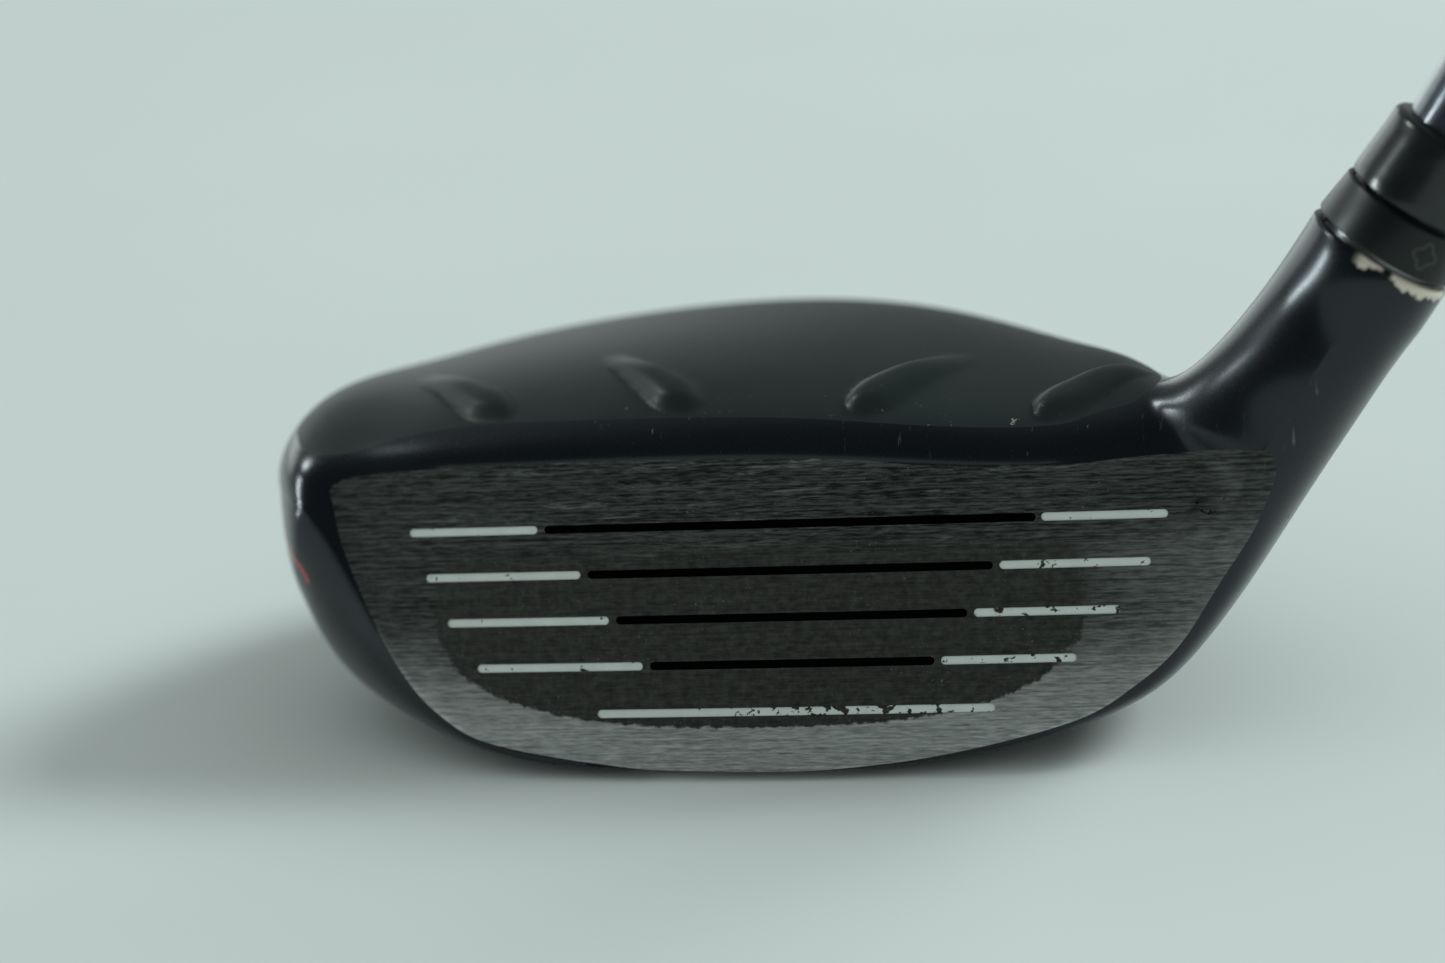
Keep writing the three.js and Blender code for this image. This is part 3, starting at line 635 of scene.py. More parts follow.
def ring_outline(inner, low, high, outer_low, outer_high, round_low, round_high):
    """A ring's outline with rounded outer edges and a straight or tapered outside."""
    return [[inner, low], *arc((outer_low - round_low, low + round_low), round_low, -90, 0),
            *arc((outer_high - round_high, high - round_high), round_high, 0, 90), [inner, high]]


def star_socket(low, high, matrix, count=96):
    angles = 2 * math.pi * np.arange(count) / count
    reach = STAR_R * (1 - STAR_WAVE + STAR_WAVE * np.cos(6 * angles))
    plan = np.stack([reach * np.cos(angles), reach * np.sin(angles)], -1)
    return placed(slab("socket", plan, low, high), matrix)


def make_sleeve():
    radius, low, high = SLEEVE
    sleeve = turned("hosel_sleeve", [[0, low], *arc((radius - 0.5, low + 0.5), 0.5, -90, 0, 4),
                                     [radius, high], [0, high]])
    shaft_here = HOSEL_FRAME.inverted() @ SHAFT_FRAME
    boolean(sleeve, rod(TIP_R + FIT_GAP, SHAFT_ENDS[0] - 2 * FIT_GAP, OVERRUN, shaft_here))
    boolean(sleeve, rod(BOLT_R + FIT_GAP, low - OVERRUN, THREAD_HOLE_TOP, WORLD_FRAME))
    wide, deep, long = np.multiply(SPLINE_SIZE, 0.5)
    for i in range(SPLINES):
        turn = Matrix.Rotation(2 * math.pi * i / SPLINES, 4, "Z")
        inner, outer = radius - deep, radius + deep
        plan = [(-wide, inner), (wide, inner), (wide, outer), (-wide, outer)]
        tool = slab("tool", plan, low - long, low + long)
        tool.data.transform(turn)
        boolean(sleeve, tool)
    return placed(smooth(sleeve), HOSEL_FRAME)


def make_collar():
    """The ring that carries the setting mark, tapering up to the ferrule."""
    inner = SLEEVE[0] + FIT_GAP
    profile = ring_outline(inner, 0.5, COLLAR_LENGTH - 0.1, 6.95, 6.5, 0.3, 0.35)
    return smooth(turned("setting_collar", profile, HOSEL_FRAME, 160))


def make_ferrule():
    inner = TIP_R + 0.05
    top = 0.3 + 7.4
    profile = [[inner, 0.3], *arc((6.1, 0.5), 0.2, -90, 0, 4), [6.28, 1.4], [5.95, top - 2.2],
               *arc((5.02, top - 1.0), 0.9, 5, 90, 10), [inner, top]]
    return smooth(turned("polished_ferrule", profile, SHAFT_FRAME, 160))


def shaft_radius(z):
    share = np.clip((z - TAPER[0]) / (TAPER[1] - TAPER[0]), 0, 1)
    return TIP_R + (BUTT_R - TIP_R) * share


def make_shaft():
    heights = [SHAFT_ENDS[0], *np.linspace(*TAPER, 12), SHAFT_ENDS[1]]
    outside = [[shaft_radius(z), z] for z in heights]
    inside = [[shaft_radius(z) - SHAFT_WALL, z] for z in reversed(heights)]
    return smooth(turned("graphite_shaft", outside + inside, SHAFT_FRAME, 96))


def grip_radius(z):
    t = (z - GRIP_ENDS[0]) / (GRIP_ENDS[1] - GRIP_ENDS[0])
    return GRIP_MOUTH_R + (GRIP_BUTT_R - GRIP_MOUTH_R) * (0.25 * t + 0.75 * t * t)


RIB_PITCH = 3.2
RIB_DEPTH = 0.32


def make_grip():
    """A moulded grip: a diamond of shallow grooves, plain bands between them and a rolled mouth."""
    low, high = GRIP_ENDS
    rows, around = 420, 180
    z = np.linspace(low, high, rows)[:, None]
    angle = (2 * math.pi * np.arange(around) / around)[None, :]
    t = (z - low) / (high - low)
    twist = 2 * math.pi * (z - low) / (RIB_PITCH * 8)
    weave = np.maximum(np.cos(8 * angle + twist * 8 / 2), np.cos(8 * angle - twist * 8 / 2))
    grooves = smoothstep(weave, 0.86, 0.97)
    banded = smoothstep(np.abs((t * 5) % 1 - 0.5), 0.42, 0.44)
    plain_ends = smoothstep(t, 0.02, 0.035) * (1 - smoothstep(t, 0.955, 0.97))
    radius = grip_radius(z) - RIB_DEPTH * grooves * (1 - banded) * plain_ends
    radius = radius - 1.0 * (1 - np.sqrt(1 - np.clip(1 - (z - low) / 1.2, 0, 1) ** 2))
    radius = radius - 0.35 * np.exp(-(((z - low - 7) / 0.5) ** 2))
    shell = np.stack([radius * np.cos(angle), radius * np.sin(angle), z + 0 * radius], -1)
    bore = np.broadcast_to(shaft_radius(z) + 2 * FIT_GAP + 0.5, radius.shape)
    lining = np.stack([bore * np.cos(angle), bore * np.sin(angle), z + 0 * bore], -1)[::-1]
    rings = np.concatenate([shell, lining, shell[:1]])
    faces = [f for f in ring_faces(len(rings), around) if len(f) == 4]
    return placed(smooth(mesh_object("moulded_grip", rings.reshape(-1, 3), faces), 60), SHAFT_FRAME)


def make_cap():
    low, high = CAP_ENDS
    spigot = BUTT_R - SHAFT_WALL - FIT_GAP
    profile = [[0, SHAFT_ENDS[1] - 12], [spigot, SHAFT_ENDS[1] - 12], [spigot, low],
               *arc((GRIP_BUTT_R - 0.3, low + 0.3), 0.3, -90, 0, 5),
               *arc((GRIP_BUTT_R - 2, high - 2), 2, 10, 90, 10),
               [2.6, high], [2.2, high - 0.7], [0, high - 0.7]]
    return smooth(turned("vented_cap", profile, SHAFT_FRAME, 128))


def make_bolt():
    radius, low, high = BOLT_HEAD
    threads = [[BOLT_R - 0.28 * (i % 2), z] for i, z in enumerate(np.arange(-33.2, BOLT_TOP - 0.4, 0.4))]
    profile = [[0, low], *arc((radius - 0.5, low + 0.5), 0.5, -90, 0, 5), [radius, high - 0.2],
               [radius - 0.2, high], [BOLT_R, high], *threads, [BOLT_R - 0.7, BOLT_TOP], [0, BOLT_TOP]]
    bolt = turned("drive_bolt", profile)
    boolean(bolt, star_socket(low - OVERRUN, low + STAR_DEPTH, WORLD_FRAME))
    return placed(smooth(bolt), HOSEL_FRAME)


def make_washer():
    profile = ring_outline(BOLT_R + FIT_GAP, *WASHER, PORT[0] - FIT_GAP, PORT[0] - FIT_GAP, 0.2, 0.2)
    return smooth(turned("thrust_washer", profile, HOSEL_FRAME))


def make_retainer():
    profile = ring_outline(3.4, *RETAINER, RETAINER_GROOVE[0] - FIT_GAP, RETAINER_GROOVE[0] - FIT_GAP,
                           0.35, 0.35)
    return smooth(turned("rubber_retainer", profile, HOSEL_FRAME))


WEIGHT_FACE = -0.2
RING_SPACE = 1.3


def make_weight():
    """A flanged screw with a star socket in a shallow turned dish."""
    flange, shank = WEIGHT_FLANGE_R, WEIGHT_SHANK_R
    low, under, tip = WEIGHT_FACE, WEIGHT_SEAT - RING_SPACE, WEIGHT_DEPTH - 1
    threads = [[shank - 0.3 * (i % 2), z] for i, z in enumerate(np.arange(under + 1.4, tip - 0.5, 0.5))]
    profile = [[0, low + 0.25], [4.2, low + 0.25], [4.45, low],
               *arc((flange - 0.5, low + 0.5), 0.5, -90, 0, 6), [flange, under],
               [shank, under], *threads, [shank - 0.5, tip], [0, tip]]
    weight = turned("screw_weight", profile)
    boolean(weight, star_socket(low - OVERRUN, low + STAR_DEPTH, WORLD_FRAME))
    return placed(smooth(weight), WEIGHT_FRAME)


def make_ring():
    middle = (WEIGHT_SHANK_R + WEIGHT_FLANGE_R + FIT_GAP) / 2
    half = RING_SPACE / 2 - FIT_GAP
    circle = [[middle + 0.75 * math.cos(a), WEIGHT_SEAT - RING_SPACE / 2 + half * math.sin(a)]
              for a in np.linspace(0, 2 * math.pi, 24, endpoint=False)]
    return smooth(turned("weight_seal_ring", circle, WEIGHT_FRAME))


# Materials -------------------------------------------------------------------------------------

class Graph:
    """A material's nodes. Values are sockets or numbers, and every method gives a socket back."""

    def __init__(self, name):
        self.material = bpy.data.materials.new(name)
        self.material.use_nodes = True
        self.nodes = self.material.node_tree.nodes
        self.links = self.material.node_tree.links
        self.shader = self.nodes["Principled BSDF"]
        self.place = self.nodes.new("ShaderNodeTexCoord").outputs["Object"]

    def add(self, kind, output, settings=(), **inputs):
        made = self.nodes.new("ShaderNode" + kind)
        for key, value in dict(settings).items():
            setattr(made, key, value)
        for key, value in inputs.items():
            socket = made.inputs[int(key[1:])] if key[0] == "_" else made.inputs[key.replace("_", " ")]
            self.set(socket, value)
        return made.outputs[output]

    def set(self, socket, value):
        if isinstance(value, bpy.types.NodeSocket):
            self.links.new(value, socket)
        else:
            socket.default_value = (*value, 1) if socket.type == "RGBA" and len(value) == 3 else value

    def math(self, operation, a, b=0.0, c=0.0, clamp=False):
        return self.add("Math", 0, {"operation": operation, "use_clamp": clamp}, _0=a, _1=b, _2=c)

    def times(self, a, b):
        return self.math("MULTIPLY", a, b)

    def plus(self, a, b):
        return self.math("ADD", a, b)

    def minus(self, a, b):
        return self.math("SUBTRACT", a, b)

    def size_of(self, a):
        return self.math("ABSOLUTE", a)

    def varied(self, noise, amount):
        """A noise centred on zero and scaled."""
        return self.times(self.minus(noise, 0.5), amount)

    def away_from(self, point):
        """The object's coordinates from a point given in millimetres."""
        return self.add("VectorMath", 0, {"operation": "SUBTRACT"}, _0=self.place, _1=tuple(point * MM))

    def step(self, value, low, high, to_low=0.0, to_high=1.0):
        """A smooth step of value from low to high."""
        return self.add("MapRange", 0, {"interpolation_type": "SMOOTHSTEP"}, _0=value, _1=low, _2=high,
                        _3=to_low, _4=to_high)

    def dot(self, vector, direction):
        return self.add("VectorMath", "Value", {"operation": "DOT_PRODUCT"}, _0=vector, _1=tuple(direction))

    def vector(self, x, y, z=0.0):
        return self.add("CombineXYZ", 0, _0=x, _1=y, _2=z)

    def axes(self, vector):
        made = self.nodes.new("ShaderNodeSeparateXYZ")
        self.links.new(vector, made.inputs[0])
        return made.outputs

    def scaled(self, scale):
        """The object's coordinates in millimetres, stretched along each axis."""
        per_mm = [value / MM for value in scale]
        return self.add("VectorMath", 0, {"operation": "MULTIPLY"}, _0=self.place, _1=per_mm)

    def noise(self, vector, scale=1.0, detail=3.0, roughness=0.5, distortion=0.0):
        return self.add("TexNoise", 0, Vector=vector, Scale=scale, Detail=detail, Roughness=roughness,
                        Distortion=distortion)

    def cells(self, vector, scale=1.0, randomness=1.0):
        return self.add("TexVoronoi", "Distance", Vector=vector, Scale=scale, Randomness=randomness)

    def mix(self, share, a, b):
        made = self.nodes.new("ShaderNodeMix")
        made.data_type = "RGBA"
        for index, value in ((0, share), (6, a), (7, b)):
            self.set(made.inputs[index], value)
        return made.outputs[2]

    def blend(self, share, a, b):
        made = self.nodes.new("ShaderNodeMix")
        for index, value in ((0, share), (2, a), (3, b)):
            self.set(made.inputs[index], value)
        return made.outputs[0]

    def bump(self, height, strength, depth_mm, under=None):
        inputs = {"Height": height, "Strength": strength, "Distance": depth_mm * MM}
        if under is not None:
            inputs["Normal"] = under
        return self.add("Bump", 0, **inputs)

    def finish(self, **inputs):
        for key, value in inputs.items():
            self.set(self.shader.inputs[key.replace("_", " ")], value)
        return self.material


def face_places(graph):
    """Across and up the milled face in millimetres."""
    away = graph.away_from(LEADING_EDGE)
    return graph.dot(away, (1 / MM, 0, 0)), graph.dot(away, UP_FACE / MM)


OVAL_POWER = 2.6
COATED_OVAL = ((-2.5, 15.5), (32.0, 11.8))


def oval_reach(graph, x, s, centre, half):
    """Zero in the middle of an oval of the face, one on its edge and more outside it."""
    parts = []
    for value, middle, reach in zip((x, s), centre, half):
        share = graph.times(graph.minus(value, middle), 1 / reach)
        parts.append(graph.math("POWER", graph.size_of(share), OVAL_POWER))
    return graph.plus(*parts)


def height_over_face(graph, x, s):
    """How far a point stands out of the smooth face, in millimetres: below zero in a groove."""
    out = graph.dot(graph.away_from(LEADING_EDGE), OUT_OF_FACE / MM)
    bow = graph.plus(graph.times(x, x), graph.math("POWER", graph.minus(s, FACE_MIDDLE), 2))
    return graph.plus(out, graph.times(bow, 0.5 / FACE_RADIUS))


def milled_steel():
    """Dark coated milling lines, worn bright along the bottom of the face, round an oval that still
    carries its coating, with painted shade on the floors of the score grooves."""
    graph = Graph("milled_steel")
    x, s = face_places(graph)
    plane = graph.vector(x, s)
    wander = graph.noise(plane, 0.16, 4)
    ragged = graph.noise(plane, 1.1, 5, 0.65)
    long_lines = graph.noise(graph.vector(graph.times(x, 0.05), graph.times(s, 3.4)), 1, 5, 0.6)
    short_lines = graph.noise(graph.vector(graph.times(x, 0.5), graph.times(s, 4.6)), 1, 5, 0.7, 0.3)
    lines = graph.blend(0.62, long_lines, short_lines)
    fine = graph.noise(graph.vector(graph.times(x, 0.8), graph.times(s, 9)), 1, 3, 0.6)
    oval = graph.plus(oval_reach(graph, x, s, *COATED_OVAL), graph.varied(ragged, 0.22))
    low_right = graph.step(x, 12, 30)
    bare = graph.step(graph.plus(oval, graph.times(low_right, 0.1)), 0.97, 1.03)
    lower = graph.step(graph.plus(s, graph.varied(wander, 5)), 15, -1)
    side = graph.step(x, 22, 42)
    below = graph.step(s, 24, 19)
    wear = graph.times(graph.times(bare, below),
                       graph.math("ADD", graph.times(lower, 0.97), graph.times(side, 0.16), clamp=True))
    coat = graph.mix(graph.step(lines, 0.4, 0.62), (0.002, 0.0025, 0.002), (0.085, 0.092, 0.085))
    warm = graph.mix(graph.step(ragged, 0.35, 0.7), (0.02, 0.02, 0.016), (0.055, 0.055, 0.046))
    inside = graph.times(graph.step(oval, 1.02, 0.93), graph.step(s, 22.5, 19))
    coat = graph.mix(graph.times(inside, 0.75), coat, warm)
    steel = graph.mix(graph.step(lines, 0.3, 0.7), (0.25, 0.275, 0.25), (1.0, 1.0, 1.0))
    colour = graph.mix(wear, coat, steel)
    scuff_line = graph.noise(graph.vector(graph.times(x, 0.16), graph.times(s, 1.5)), 1, 5, 0.7, 0.6)
    scuff_middle = graph.step(graph.size_of(graph.plus(x, 2)), 44, 22)
    scuff_place = graph.times(graph.step(s, 17, 25), scuff_middle)
    scuff = graph.times(graph.times(graph.step(scuff_line, 0.56, 0.7), scuff_place), 0.6)
    upright = graph.noise(graph.vector(graph.times(x, 2.6), graph.times(s, 0.5)), 1, 6, 0.75, 0.4)
    scratch = graph.times(graph.step(upright, 0.62, 0.72), graph.step(wander, 0.42, 0.6))
    speck_field = graph.noise(plane, 3.4, 2, 0.5)
    specks = graph.times(graph.step(speck_field, 0.66, 0.74), graph.step(wander, 0.4, 0.6))
    # Painted shade: the floors of the score grooves between the top and bottom rows are coloured near black, with
    # no specular and no wear, as if in shadow.
    between = graph.times(graph.times(graph.step(s, 25.5, 24.5), graph.step(s, 3, 4)),
                          graph.step(graph.size_of(x), 30, 28))
    painted_groove_shade = graph.times(graph.step(height_over_face(graph, x, s), -0.06, -0.12), between)
    small_marks = graph.math("MAXIMUM", graph.times(scratch, 0.4), graph.times(specks, 0.5))
    marks = graph.math("MAXIMUM", scuff, small_marks)
    colour = graph.mix(marks, colour, (0.26, 0.28, 0.265))
    colour = graph.mix(painted_groove_shade, colour, (0.002, 0.002, 0.0018))
    wear = graph.times(wear, graph.minus(1.0, painted_groove_shade))
    height = graph.plus(graph.times(lines, 0.7), graph.times(fine, 0.3))
    edge = graph.times(graph.step(oval, 0.98, 1.02), graph.step(s, 24, 20))
    relief = graph.bump(edge, 0.35, -0.03)
    return graph.finish(
        Base_Color=colour, Metallic=graph.blend(wear, 0.35, 0.92),
        Specular_IOR_Level=graph.times(graph.minus(1.0, painted_groove_shade), 0.5),
        Roughness=graph.plus(graph.blend(wear, 0.5, 0.4), graph.varied(lines, 0.3)),
        Anisotropic=0.85, Tangent=graph.vector(*UP_FACE), Normal=graph.bump(height, 0.55, 0.03, relief))


def dark_gloss(graph, mm):
    """A blue-black vapour coating with a fine sparkle, light handling scratches and a worn front band."""
    grain = graph.noise(mm, 4.5, 4, 0.7)
    cloud = graph.noise(mm, 0.12, 4)
    sparkle = graph.step(graph.cells(mm, 3.2), 0.16, 0.03)
    scratch = graph.step(graph.noise(graph.scaled((1.9, 0.3, 0.22)), 1, 6, 0.72, 0.5), 0.64, 0.7)
    x, s = face_places(graph)
    band = graph.times(graph.step(s, 27.5, 29), graph.step(s, 36, 33))
    spots = graph.plus(graph.step(graph.size_of(graph.plus(x, 13)), 8, 2),
                       graph.step(graph.size_of(graph.minus(x, 26)), 9, 2))
    marks = graph.times(graph.times(scratch, band), graph.plus(graph.times(spots, 0.9), 0.2))
    worn = graph.mix(marks, (0.010, 0.0135, 0.018), (0.3, 0.33, 0.34))
    colour = graph.mix(graph.times(sparkle, 0.35), worn, (0.05, 0.075, 0.11))
    roughness = graph.plus(graph.plus(0.27, graph.varied(grain, 0.2)), graph.varied(cloud, 0.12))
    return colour, roughness, grain


# The red arc on the toe: its centre, its inner and outer radius, and how its edges and lower end fade.
TOE_MARK = np.array([-50, 1, 16.5])
TOE_MARK_RADII = (3.3, 4.0)
TOE_MARK_EDGE = 0.1
TOE_MARK_ENDS = (16.5, 17.0)


def toe_arc(graph):
    inner, outer = TOE_MARK_RADII
    spot = graph.add("VectorMath", "Value", {"operation": "DISTANCE"}, _0=graph.place,
                     _1=tuple(TOE_MARK * MM))
    ring = graph.times(
        graph.step(spot, (inner - TOE_MARK_EDGE) * MM, (inner + TOE_MARK_EDGE) * MM),
        graph.step(spot, (outer + TOE_MARK_EDGE) * MM, (outer - TOE_MARK_EDGE) * MM))
    low, high = TOE_MARK_ENDS
    return graph.times(ring, graph.step(graph.axes(graph.place)[2], low * MM, high * MM))


def rim_chips(graph, mm):
    """Bare patches at the front of the hosel's rim."""
    away = graph.away_from(HOSEL_TOP)
    along = graph.dot(away, HOSEL_AXIS / MM)
    front = graph.dot(away, (0, -1 / MM, 0))
    side = graph.dot(away, -HOSEL_SIDE / MM)
    ragged = graph.noise(mm, 0.6, 3, 0.5)
    gap = graph.step(graph.size_of(graph.minus(side, 0.6)), 0.25, 0.7)
    reach = graph.step(graph.plus(along, graph.varied(ragged, 3.4)), -0.9, -0.6)
    place = graph.times(graph.step(front, 1.0, 3.0), graph.step(side, -3.0, -1.8))
    return graph.times(reach, graph.times(gap, place))


def coated_casting():
    """The coating with chips at the hosel's rim and the red arc on the toe."""
    graph = Graph("coated_casting")
    mm = graph.scaled((1, 1, 1))
    colour, roughness, grain = dark_gloss(graph, mm)
    chip = rim_chips(graph, mm)
    colour = graph.mix(chip, colour, (0.62, 0.56, 0.47))
    colour = graph.mix(toe_arc(graph), colour, (0.42, 0.055, 0.05))
    return graph.finish(Base_Color=colour, Metallic=graph.blend(chip, 0.55, 0.1),
                        Roughness=graph.math("MAXIMUM", roughness, graph.times(chip, 0.5)),
                        Coat_Weight=0.25, Coat_Roughness=0.18,
                        Normal=graph.bump(graph.plus(grain, graph.times(chip, -2)), 0.18, 0.03))


def matte_crown():
    """Matte charcoal paint with a fine stipple, rubbed shinier along the front and chipped at it."""
    graph = Graph("matte_crown")
    mm = graph.scaled((1, 1, 1))
    grain = graph.noise(mm, 5.0, 3, 0.6)
    cloud = graph.noise(mm, 0.08, 5, 0.6)
    y = graph.axes(mm)[1]
    front = graph.step(y, 2.2, -1.5)
    chips = graph.times(graph.step(graph.noise(mm, 0.85, 5, 0.7), 0.66, 0.7), graph.step(y, 0.6, -1.2))
    dust = graph.step(graph.cells(mm, 0.55), 0.05, 0.02)
    colour = graph.mix(graph.step(cloud, 0.3, 0.7), (0.0135, 0.0185, 0.019), (0.0175, 0.0235, 0.0245))
    colour = graph.mix(graph.times(dust, 0.35), colour, (0.16, 0.17, 0.17))
    colour = graph.mix(graph.times(chips, 0.8), colour, (0.36, 0.35, 0.33))
    rough = graph.plus(graph.blend(front, 0.5, 0.36), graph.varied(grain, 0.2))
    return graph.finish(Base_Color=colour, Roughness=rough, Specular_IOR_Level=0.22,
                        Normal=graph.bump(grain, 0.14, 0.03))


def score_paint():
    """Chalky white enamel in the score lines, flaked away where the ball strikes."""
    graph = Graph("score_paint")
    x, s = face_places(graph)
    plane = graph.vector(x, s)
    ragged = graph.noise(plane, 1.0, 4, 0.6)
    low_middle = graph.times(graph.step(s, 7, 5.5), graph.step(graph.size_of(graph.minus(x, 5)), 15, 8))
    heel_side = graph.times(graph.step(x, 12, 19), graph.step(s, 20, 15))
    struck = graph.plus(heel_side, graph.times(low_middle, 1.8))
    gone = graph.step(graph.plus(ragged, graph.times(struck, 0.055)), 0.64, 0.66)
    colour = graph.mix(graph.noise(plane, 0.5, 4), (0.50, 0.54, 0.52), (0.68, 0.72, 0.69))
    colour = graph.mix(gone, colour, (0.02, 0.017, 0.012))
    return graph.finish(Base_Color=colour, Roughness=0.6, Normal=graph.bump(gone, 0.6, -0.08))


def machined(name, colour, rough, ridge=6.0):
    """Metal with fine turning lines round its axis."""
    graph = Graph(name)
    x, y, z = graph.axes(graph.scaled((1, 1, 1)))
    radius = graph.math("SQRT", graph.plus(graph.times(x, x), graph.times(y, y)))
    rings = graph.noise(graph.vector(graph.times(z, ridge), graph.times(radius, ridge)), 1, 4, 0.6)
    cloud = graph.noise(graph.scaled((1, 1, 1)), 0.5, 4)
    dark = tuple(0.6 * value for value in colour)
    shade = graph.mix(graph.times(graph.plus(rings, cloud), 0.5), dark, colour)
    return graph.finish(Base_Color=shade, Metallic=0.9,
                        Roughness=graph.plus(rough, graph.varied(rings, 0.25)),
                        Normal=graph.bump(rings, 0.35, 0.02))


def anodised_collar():
    """Satin black with a pale lobed mark, which shows the front of the setting ring."""
    graph = Graph("anodised_collar")
    x, y, z = graph.axes(graph.scaled((1, 1, 1)))
    angle = graph.math("ARCTAN2", x, graph.times(y, -1))
    across = graph.times(graph.minus(angle, 0.42), 6.7)
    up = graph.minus(z, 2.7)
    reach = graph.math("SQRT", graph.plus(graph.times(across, across), graph.times(up, up)))
    lobes = graph.math("COSINE", graph.times(graph.math("ARCTAN2", up, across), 4))
    off = graph.size_of(graph.minus(reach, graph.plus(1.02, graph.times(lobes, 0.2))))
    mark = graph.times(graph.step(off, 0.16, 0.08), 0.35)
    grain = graph.noise(graph.scaled((1, 1, 1)), 6, 3, 0.6)
    colour = graph.mix(mark, (0.004, 0.0055, 0.006), (0.11, 0.12, 0.115))
    rough = graph.plus(0.36, graph.varied(grain, 0.2))
    height = graph.plus(graph.times(grain, 0.3), graph.times(mark, -2))
    return graph.finish(Base_Color=colour, Metallic=0.3, Roughness=rough,
                        Normal=graph.bump(height, 0.3, 0.03))


def butyrate():
    """Polished black plastic with faint polishing lines."""
    graph = Graph("butyrate")
    z = graph.axes(graph.scaled((1, 1, 1)))[2]
    lines = graph.noise(graph.vector(graph.times(z, 9), 0.0), 1, 3)
    cloud = graph.noise(graph.scaled((1, 1, 1)), 0.7, 4)
    return graph.finish(Base_Color=graph.mix(cloud, (0.006, 0.007, 0.008), (0.012, 0.013, 0.015)),
                        Roughness=graph.plus(0.16, graph.times(cloud, 0.12)),
                        Normal=graph.bump(lines, 0.08, 0.01))


def lacquered_graphite():
    """Blue-grey lacquer over wound fibre."""
    graph = Graph("lacquered_graphite")
    x, y, z = graph.axes(graph.scaled((1, 1, 1)))
    angle = graph.times(graph.math("ARCTAN2", y, x), 3 / math.pi)
    weave = graph.noise(graph.vector(graph.times(z, 0.7), graph.times(angle, 2.2)), 1.2, 5, 0.6)
    flakes = graph.step(graph.cells(graph.scaled((1, 1, 1)), 3.4), 0.16, 0.04)
    colour = graph.mix(graph.step(weave, 0.3, 0.7), (0.022, 0.030, 0.043), (0.045, 0.058, 0.08))
    colour = graph.mix(graph.times(flakes, 0.5), colour, (0.13, 0.17, 0.22))
    return graph.finish(Base_Color=colour, Metallic=0.45, Roughness=0.27, Coat_Weight=0.8,
                        Coat_Roughness=0.07, Normal=graph.bump(weave, 0.05, 0.02))


def moulded_rubber(name):
    """Black rubber with fine pores, paler where it is worn."""
    graph = Graph(name)
    colour = (0.016, 0.017, 0.017)
    mm = graph.scaled((1, 1, 1))
    pores = graph.noise(mm, 3.5, 4, 0.65)
    wear = graph.noise(mm, 0.06, 5, 0.6)
    pale = tuple(1.9 * value for value in colour)
    return graph.finish(Base_Color=graph.mix(graph.step(wear, 0.35, 0.75), colour, pale),
                        Roughness=graph.plus(0.78, graph.varied(pores, 0.2)),
                        Normal=graph.bump(pores, 0.4, 0.05))


def crepe_tape():
    graph = Graph("crepe_tape")
    along = graph.dot(graph.place, SHAFT_AXIS / MM)
    creases = graph.noise(graph.vector(graph.times(along, 1.6), 0.0), 1, 5, 0.7)
    colour = graph.mix(creases, (0.5, 0.44, 0.32), (0.72, 0.66, 0.52))
    return graph.finish(Base_Color=colour, Roughness=0.85, Normal=graph.bump(creases, 0.6, 0.1))


def amber_glue():
    graph = Graph("amber_glue")
    lumps = graph.noise(graph.scaled((1, 1, 1)), 0.5, 3)
    colour = graph.mix(lumps, (0.42, 0.26, 0.09), (0.66, 0.5, 0.25))
    return graph.finish(Base_Color=colour, Roughness=0.28, Normal=graph.bump(lumps, 0.4, 0.5))


# The floor, the light and the camera -----------------------------------------------------------

CAMERA_AZIMUTH = 11
CAMERA_ELEVATION = 17.5
CAMERA_ROLL = -5
CAMERA_DISTANCE = 322
CAMERA_TARGET = np.array([-3.8, -14, 29.8])
CAMERA_LENS = 87.2
SENSOR_WIDTH = 36
APERTURE = 9
FOCUS_ON_FACE = (5, 24)
FLOOR_RADIUS = 7000
FLOOR_DROP = 0.15


def floor_material():
    """A plain matte pale grey with soft, wide patches."""
    graph = Graph("pale_floor")
    cloud = graph.noise(graph.scaled((1, 1, 1)), 0.012, 3)
    colour = graph.mix(cloud, (0.57, 0.61, 0.595), (0.62, 0.66, 0.645))
    return graph.finish(Base_Color=colour, Roughness=0.85, Specular_IOR_Level=0.0)


def make_floor():
    around = 96
    angles = 2 * math.pi * np.arange(around) / around
    points = [(FLOOR_RADIUS * math.cos(a), FLOOR_RADIUS * math.sin(a), -FLOOR_DROP) for a in angles]
    mesh = bpy.data.meshes.new("floor")
    mesh.from_pydata((np.array(points) * MM).tolist(), [], [tuple(range(around))])
    floor = bpy.data.objects.new("floor", mesh)
    bpy.context.scene.collection.objects.link(floor)
    mesh.materials.append(floor_material())


def aimed(obj, place, target):
    """Puts a light at a place in millimetres, looking at a target."""
    obj.location = Vector(place) * MM
    obj.rotation_euler = (Vector(target) - Vector(place)).to_track_quat("-Z", "Y").to_euler()
    bpy.context.scene.collection.objects.link(obj)
    return obj


def softbox(name, place, target, size, watts, colour, glossy=True, diffuse=True):
    """A rectangular light. It may be left out of reflections, or light only by them."""
    light = bpy.data.lights.new(name, "AREA")
    light.shape = "RECTANGLE"
    light.size, light.size_y = (value * MM for value in size)
    light.energy = watts
    light.color = colour
    box = aimed(bpy.data.objects.new(name, light), place, target)
    box.visible_camera = False
    box.visible_glossy = glossy
    box.visible_diffuse = diffuse
    return box


BACKDROP = (0.467, 0.558, 0.56)
DAYLIGHT = (0.90, 1.0, 0.985)
DIFFUSE_GLOW = 0.57
FRONT_GLOW = 0.05
BACK_GLOW = 0.36


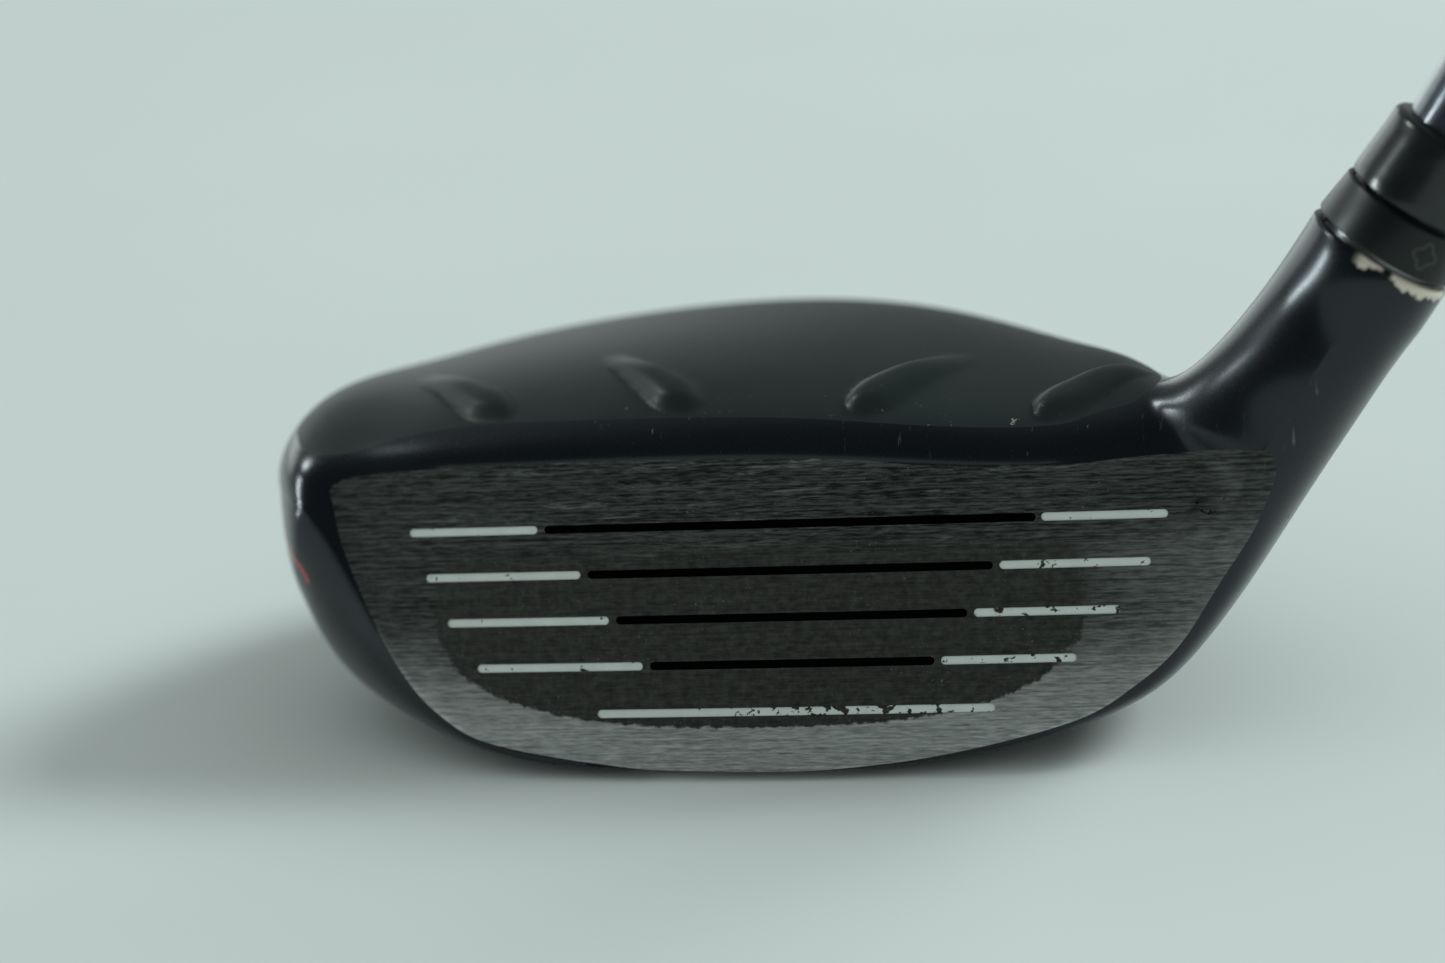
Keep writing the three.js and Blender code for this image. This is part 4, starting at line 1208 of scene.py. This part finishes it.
def make_world():
    """A pale teal-grey backdrop, which lights matte surfaces evenly. Shiny ones see a bright back and a
    dark front."""
    world = bpy.data.worlds.new("studio")
    world.use_nodes = True
    world.cycles.sampling_method = "NONE"
    nodes, links = world.node_tree.nodes, world.node_tree.links

    def glow(colour, strength):
        made = nodes.new("ShaderNodeBackground")
        made.inputs["Color"].default_value = (*colour, 1)
        if isinstance(strength, bpy.types.NodeSocket):
            links.new(strength, made.inputs["Strength"])
        else:
            made.inputs["Strength"].default_value = strength
        return made.outputs[0]

    def choose(share, otherwise, chosen):
        made = nodes.new("ShaderNodeMixShader")
        for index, value in enumerate((share, otherwise, chosen)):
            links.new(value, made.inputs[index])
        return made.outputs[0]

    axes = nodes.new("ShaderNodeSeparateXYZ")
    links.new(nodes.new("ShaderNodeTexCoord").outputs["Generated"], axes.inputs[0])
    depth = nodes.new("ShaderNodeMapRange")
    depth.interpolation_type = "SMOOTHSTEP"
    links.new(axes.outputs["Y"], depth.inputs[0])
    for index, value in enumerate((-0.35, 0.6, FRONT_GLOW, BACK_GLOW), 1):
        depth.inputs[index].default_value = value
    ray = nodes.new("ShaderNodeLightPath").outputs
    even, graded = glow(DAYLIGHT, DIFFUSE_GLOW), glow(DAYLIGHT, depth.outputs[0])
    glossy = choose(ray["Is Glossy Ray"], even, graded)
    shown = choose(ray["Is Camera Ray"], glossy, glow(BACKDROP, 1.0))
    links.new(shown, nodes["World Output"].inputs["Surface"])
    bpy.context.scene.world = world


def make_camera():
    azimuth, elevation, roll = map(math.radians, (CAMERA_AZIMUTH, CAMERA_ELEVATION, CAMERA_ROLL))
    back = np.array([math.sin(azimuth) * math.cos(elevation), -math.cos(azimuth) * math.cos(elevation),
                     math.sin(elevation)])
    right = np.cross(-back, [0, 0, 1])
    right /= np.linalg.norm(right)
    up = np.cross(right, -back)
    across = right * math.cos(roll) + up * math.sin(roll)
    upright = up * math.cos(roll) - right * math.sin(roll)
    data = bpy.data.cameras.new("camera")
    data.lens = CAMERA_LENS
    data.sensor_width = SENSOR_WIDTH
    camera = bpy.data.objects.new("camera", data)
    matrix = Matrix((across, upright, back)).transposed().to_4x4()
    matrix.translation = Vector(CAMERA_TARGET + back * CAMERA_DISTANCE) * MM
    camera.matrix_world = matrix
    bpy.context.scene.collection.objects.link(camera)
    bpy.context.scene.camera = camera
    focus = bpy.data.objects.new("focus", None)
    focus.location = Vector(on_face(*FOCUS_ON_FACE)) * MM
    bpy.context.scene.collection.objects.link(focus)
    data.dof.use_dof = True
    data.dof.focus_object = focus
    data.dof.aperture_fstop = APERTURE
    bpy.context.scene.view_settings.view_transform = "Standard"


# Everything together ---------------------------------------------------------------------------

def add(piece, material, body, slot, *nodes):
    piece.data.materials.clear()
    piece.data.materials.append(material)
    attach(piece, body)
    if nodes:
        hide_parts(*nodes)


def repaint(node, material):
    """A carried-over piece that is hidden at rest keeps its mesh and gets a finish."""
    frame["nodes"][node].data.materials.clear()
    frame["nodes"][node].data.materials.append(material)


alloy = machined("bright_alloy", (0.55, 0.57, 0.58), 0.3)
steel = machined("bolt_steel", (0.20, 0.20, 0.21), 0.34)
heavy = machined("weight_metal", (0.34, 0.34, 0.35), 0.32, 4.0)
rubber = moulded_rubber("black_rubber")

skin = make_skin()
face = make_face(skin)
add(make_casting(skin, face), coated_casting(), "head", "head_steel", "head_body")
add(face, milled_steel(), "head", "face_steel", "face_plate")
add(make_crown(skin), matte_crown(), "head", "crown_paint", "crown")
bpy.data.objects.remove(skin)
add(make_score_paint(), score_paint(), "head", "face_steel")
add(make_retainer(), rubber, "head", "rubber", "bolt_retainer")
repaint("rattle_glue", amber_glue())

add(make_sleeve(), alloy, "shaft_assembly", "bright_alloy", "adapter_sleeve")
add(make_collar(), anodised_collar(), "shaft_assembly", "collar_anodised", "index_collar")
add(make_ferrule(), butyrate(), "shaft_assembly", "ferrule_plastic", "ferrule")
add(make_shaft(), lacquered_graphite(), "shaft_assembly", "shaft_graphite", "shaft")
add(make_grip(), moulded_rubber("grip_rubber"), "shaft_assembly", "rubber", "grip")
add(make_cap(), rubber, "shaft_assembly", "rubber", "grip_cap")
repaint("tip_plug", alloy)
repaint("grip_tape", crepe_tape())

add(make_washer(), alloy, "washer", "bright_alloy", "bolt_washer")
add(make_bolt(), steel, "bolt", "bolt_steel", "hosel_bolt")
add(make_ring(), rubber, "weight_seal", "rubber", "weight_ring")
add(make_weight(), heavy, "weight", "weight_metal", "sole_weight")

make_floor()
make_world()
make_camera()
softbox("window", (-830, -110, 215), (0, 0, 25), (110, 420), 4.5, DAYLIGHT, diffuse=False)
softbox("high_window", (-780, 60, 800), (0, 0, 25), (190, 190), 3.5, DAYLIGHT, diffuse=False)
softbox("pale_wall", (-700, 900, 300), (0, 0, 25), (1100, 500), 2.5, DAYLIGHT, diffuse=False)
softbox("right_window", (2600, 1200, 2200), (30, -150, 30), (1300, 1300), 96, DAYLIGHT, glossy=False)

bpy.context.view_layer.update()
